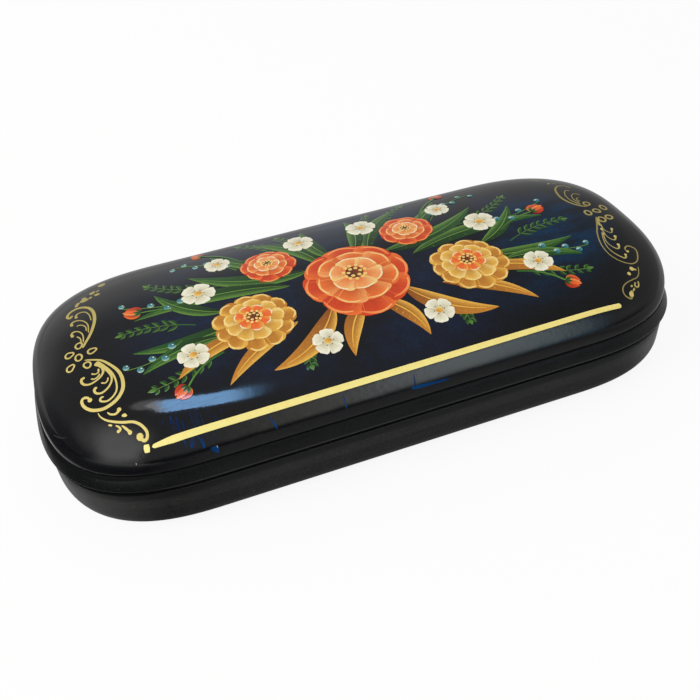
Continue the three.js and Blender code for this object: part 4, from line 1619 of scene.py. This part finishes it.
def surroundings():
    world = bpy.data.worlds.new("surroundings")
    bpy.context.scene.world = world
    sheet = blankSheet(world)
    colour = sheet.blend(showsBackground(sheet), stageSet["fill"], stageSet["white"])
    sheet.make("Background", {}, {"Color": colour, "Strength": 1.0}).into("OutputWorld")


# Glow of the mat, in metres: in front of the case, close to its ends, behind it, and elsewhere.
# A reach is measured from the spine.
mat = {
    "spine": 0.044,  # half length of the line that the case's outline goes round
    "dark": 0.03,
    "right": 0.22, "rightAlong": (0.05, 0.2),
    "front": 0.24, "frontAlong": (-0.075, -0.035), "frontReach": (0.075, 0.34),
    "ends": 0.6, "leftEnd": (0.056, 0.078), "rightEnd": (0.06, 0.09), "endReach": (0.042, 0.056),
    "frontLeft": 0.8, "leftward": (0.42, 0.68), "frontward": (0.2, 0.7), "farOut": (0.06, 0.25),
    "behind": 0.45, "behindFrom": (-0.02, 0.06), "behindLeft": (0.05, 0.3),
}


def greyMat():
    material, sheet = newFinish("matGrey")
    x, y = sheet.axes(sheet.place(), "XY")
    reach = ((abs(x) - mat["spine"]).largest(0) ** 2 + y ** 2) ** 0.5
    atRight = x.between(*mat["rightEnd"])
    front = x.between(*mat["frontAlong"]) * (1 - 0.5 * atRight)
    front = front * (1 - reach.between(*mat["frontReach"]))
    ends = ((-x).between(*mat["leftEnd"]) + 1.5 * atRight) * (1 - reach.between(*mat["endReach"]))
    left = (-x / reach).between(*mat["leftward"]) * (-y / reach).between(*mat["frontward"])
    left = left * reach.between(*mat["farOut"])
    level = mat["dark"] + mat["right"] * x.between(*mat["rightAlong"])
    level = level + mat["front"] * front + mat["ends"] * ends + mat["frontLeft"] * left
    behind = (y + 0.2 * x).between(*mat["behindFrom"])
    dimmer = 1 - 0.1 * (-x).between(*mat["behindLeft"])
    level = level * (1 - behind) + mat["behind"] * behind * dimmer
    glowing(sheet, sheet.grey(level)).into("OutputMaterial")
    disc("greyMat", stageSet["matRadius"], stageSet["matDrop"], material)


# The room by direction: x to the right, y to the back and z up, each from -1 to 1
room = {
    "dim": 0.31,
    "right": 0.1, "rightSpan": (0.2, 0.5, 0.6, 0.8),  # less at the right
    "back": 0.25, "backFrom": (0.55, 0.95), "backLow": (0.35, 0.6),  # more low at the back
    "side": 0.65, "sideFrom": (0.65, 0.97),  # how much darker it is far to the left
    "frontFrom": (0.3, 0.6), "frontTop": (0.74, 0.88), "frontRise": (-0.05, 0.4),
    "frontLeft": 0.1,
    "low": 0.85, "lowLeft": (0.33, 0.68), "lowTop": (0.1, 0.35),  # more low at the front left
    "front": (0.64, 0.62, 0.52), "frontSpan": (0.0, 0.2, 0.42, 0.52),
    "window": (1.2, 1.5, 1.65), "windowSpan": (0.18, 0.31, 0.37, 0.5), "windowRise": (-0.15, 0.65),
    "sky": (0.12, 0.4, 0.62), "skySpan": (0.36, 0.43, 0.5, 0.62),  # beside the window
    # soft lights at the left: direction, cosine at the rim and in the middle, strength
    "corner": ((-0.50, -0.45, 0.74), 0.7, 0.97, 1.45),
    "smudge": ((-0.12, 0.3, 0.947), 0.9982, 0.9998, 1.2),
    "cornerLeft": (0.12, 0.4), "cornerSide": (-0.08, 0.13), "cornerFade": (0.4, 0.7),
}


def dimRoom():
    material, sheet = newFinish("roomDim")
    direction = sheet.make("VectorMath", {"operation": "NORMALIZE"}, {0: sheet.place()})
    x, y, z = sheet.axes(direction)

    def soft(toward, rimCosine, midCosine, strength):
        sockets = {0: direction, 1: toward}
        facing = sheet.make("VectorMath", {"operation": "DOT_PRODUCT"}, sockets, "Value")
        return strength * facing.between(rimCosine, midCosine)

    level = room["dim"] - room["right"] * x.within(*room["rightSpan"])
    level = level + room["back"] * y.between(*room["backFrom"]) * (1 - z.between(*room["backLow"]))
    level = level * (1 - room["side"] * (-x).between(*room["sideFrom"]))
    toFront = (-y).between(*room["frontFrom"])
    front = toFront * (1 - z.between(*room["frontTop"]))
    rise = z.between(*room["frontRise"])
    level = level * (1 - front * (1 - rise)) + room["frontLeft"] * front * rise
    corner = soft(*room["corner"]) * (-x).between(*room["cornerLeft"])
    corner = corner * (0.55 * y - x).between(*room["cornerSide"])
    corner = corner * (1 - 0.7 * (0.6 * y - x).between(*room["cornerFade"]))
    low = (-x).between(*room["lowLeft"]) * toFront * (1 - z.between(*room["lowTop"]))
    level = level + corner + soft(*room["smudge"]) + room["low"] * low
    colour = sheet.grey(level)
    for name, share in (("front", rise), ("window", z.between(*room["windowRise"])), ("sky", 1.0)):
        colour = sheet.blend(front * x.within(*room[name + "Span"]) * share, colour, room[name], "ADD")
    glowing(sheet, colour).into("OutputMaterial")
    shape = bmesh.new()
    bmesh.ops.create_icosphere(shape, subdivisions=3, radius=stageSet["roomRadius"])
    stageProp("dimRoom", shape, material)


# A pane of sky high over the case, in metres, which the gloss mirrors as a pale blue streak
pane = {
    "height": 0.6,
    "corners": [(-0.127, 0.158), (-0.104, 0.175), (-0.044, 0.142), (0.002, 0.094), (0.03, 0.045),
                (0.03, -0.066), (-0.002, -0.020), (-0.044, 0.029), (-0.081, 0.050), (-0.109, 0.078)],
    "sky": (0.27, 0.54, 0.93),
    "cloud": (0.30, 0.30, 0.32), "cloudEnd": (-0.1, -0.075),  # at its left end
    "fade": (0.0, 0.03),  # at its right end
    "strength": 15.0,
}


def skyPane():
    material, sheet = newFinish("paneSky")
    place = sheet.place()
    x = sheet.axes(place, "X")[0]
    patch = sheet.noise(place, 60.0, 3).between(0.25, 0.75)
    colour = sheet.blend((x + 0.02 * patch).between(*pane["cloudEnd"]), pane["cloud"], pane["sky"])
    level = (0.7 + 0.3 * patch) * (1 - 0.95 * x.between(*pane["fade"]))
    colour = sheet.make("VectorMath", {"operation": "SCALE"}, {0: colour, "Scale": level})
    glowing(sheet, colour, pane["strength"]).into("OutputMaterial")
    shape = bmesh.new()
    shape.faces.new([shape.verts.new((*corner, pane["height"])) for corner in pane["corners"]])
    stageProp("skyPane", shape, material)


softKey = {
    "place": (-0.8, -0.1, 0.5),
    "aim": (0.0, 0.0, 0.01),
    "size": 0.6,
    "power": 5.5,
    "colour": (1.0, 0.985, 0.96),
}


def softLamp():
    lamp = linked("softKey", bpy.data.lights.new("softKey", "AREA"))
    lamp.data.size = softKey["size"]
    lamp.data.energy = softKey["power"]
    lamp.data.color = softKey["colour"]
    lamp.location = softKey["place"]
    facing = Vector(softKey["aim"]) - Vector(softKey["place"])
    lamp.rotation_euler = facing.to_track_quat("-Z", "Y").to_euler()
    lamp.visible_glossy = False


whiteFloor()
surroundings()
greyMat()
dimRoom()
skyPane()
softLamp()
bpy.context.scene.view_settings.view_transform = "Standard"
print("stage lit")
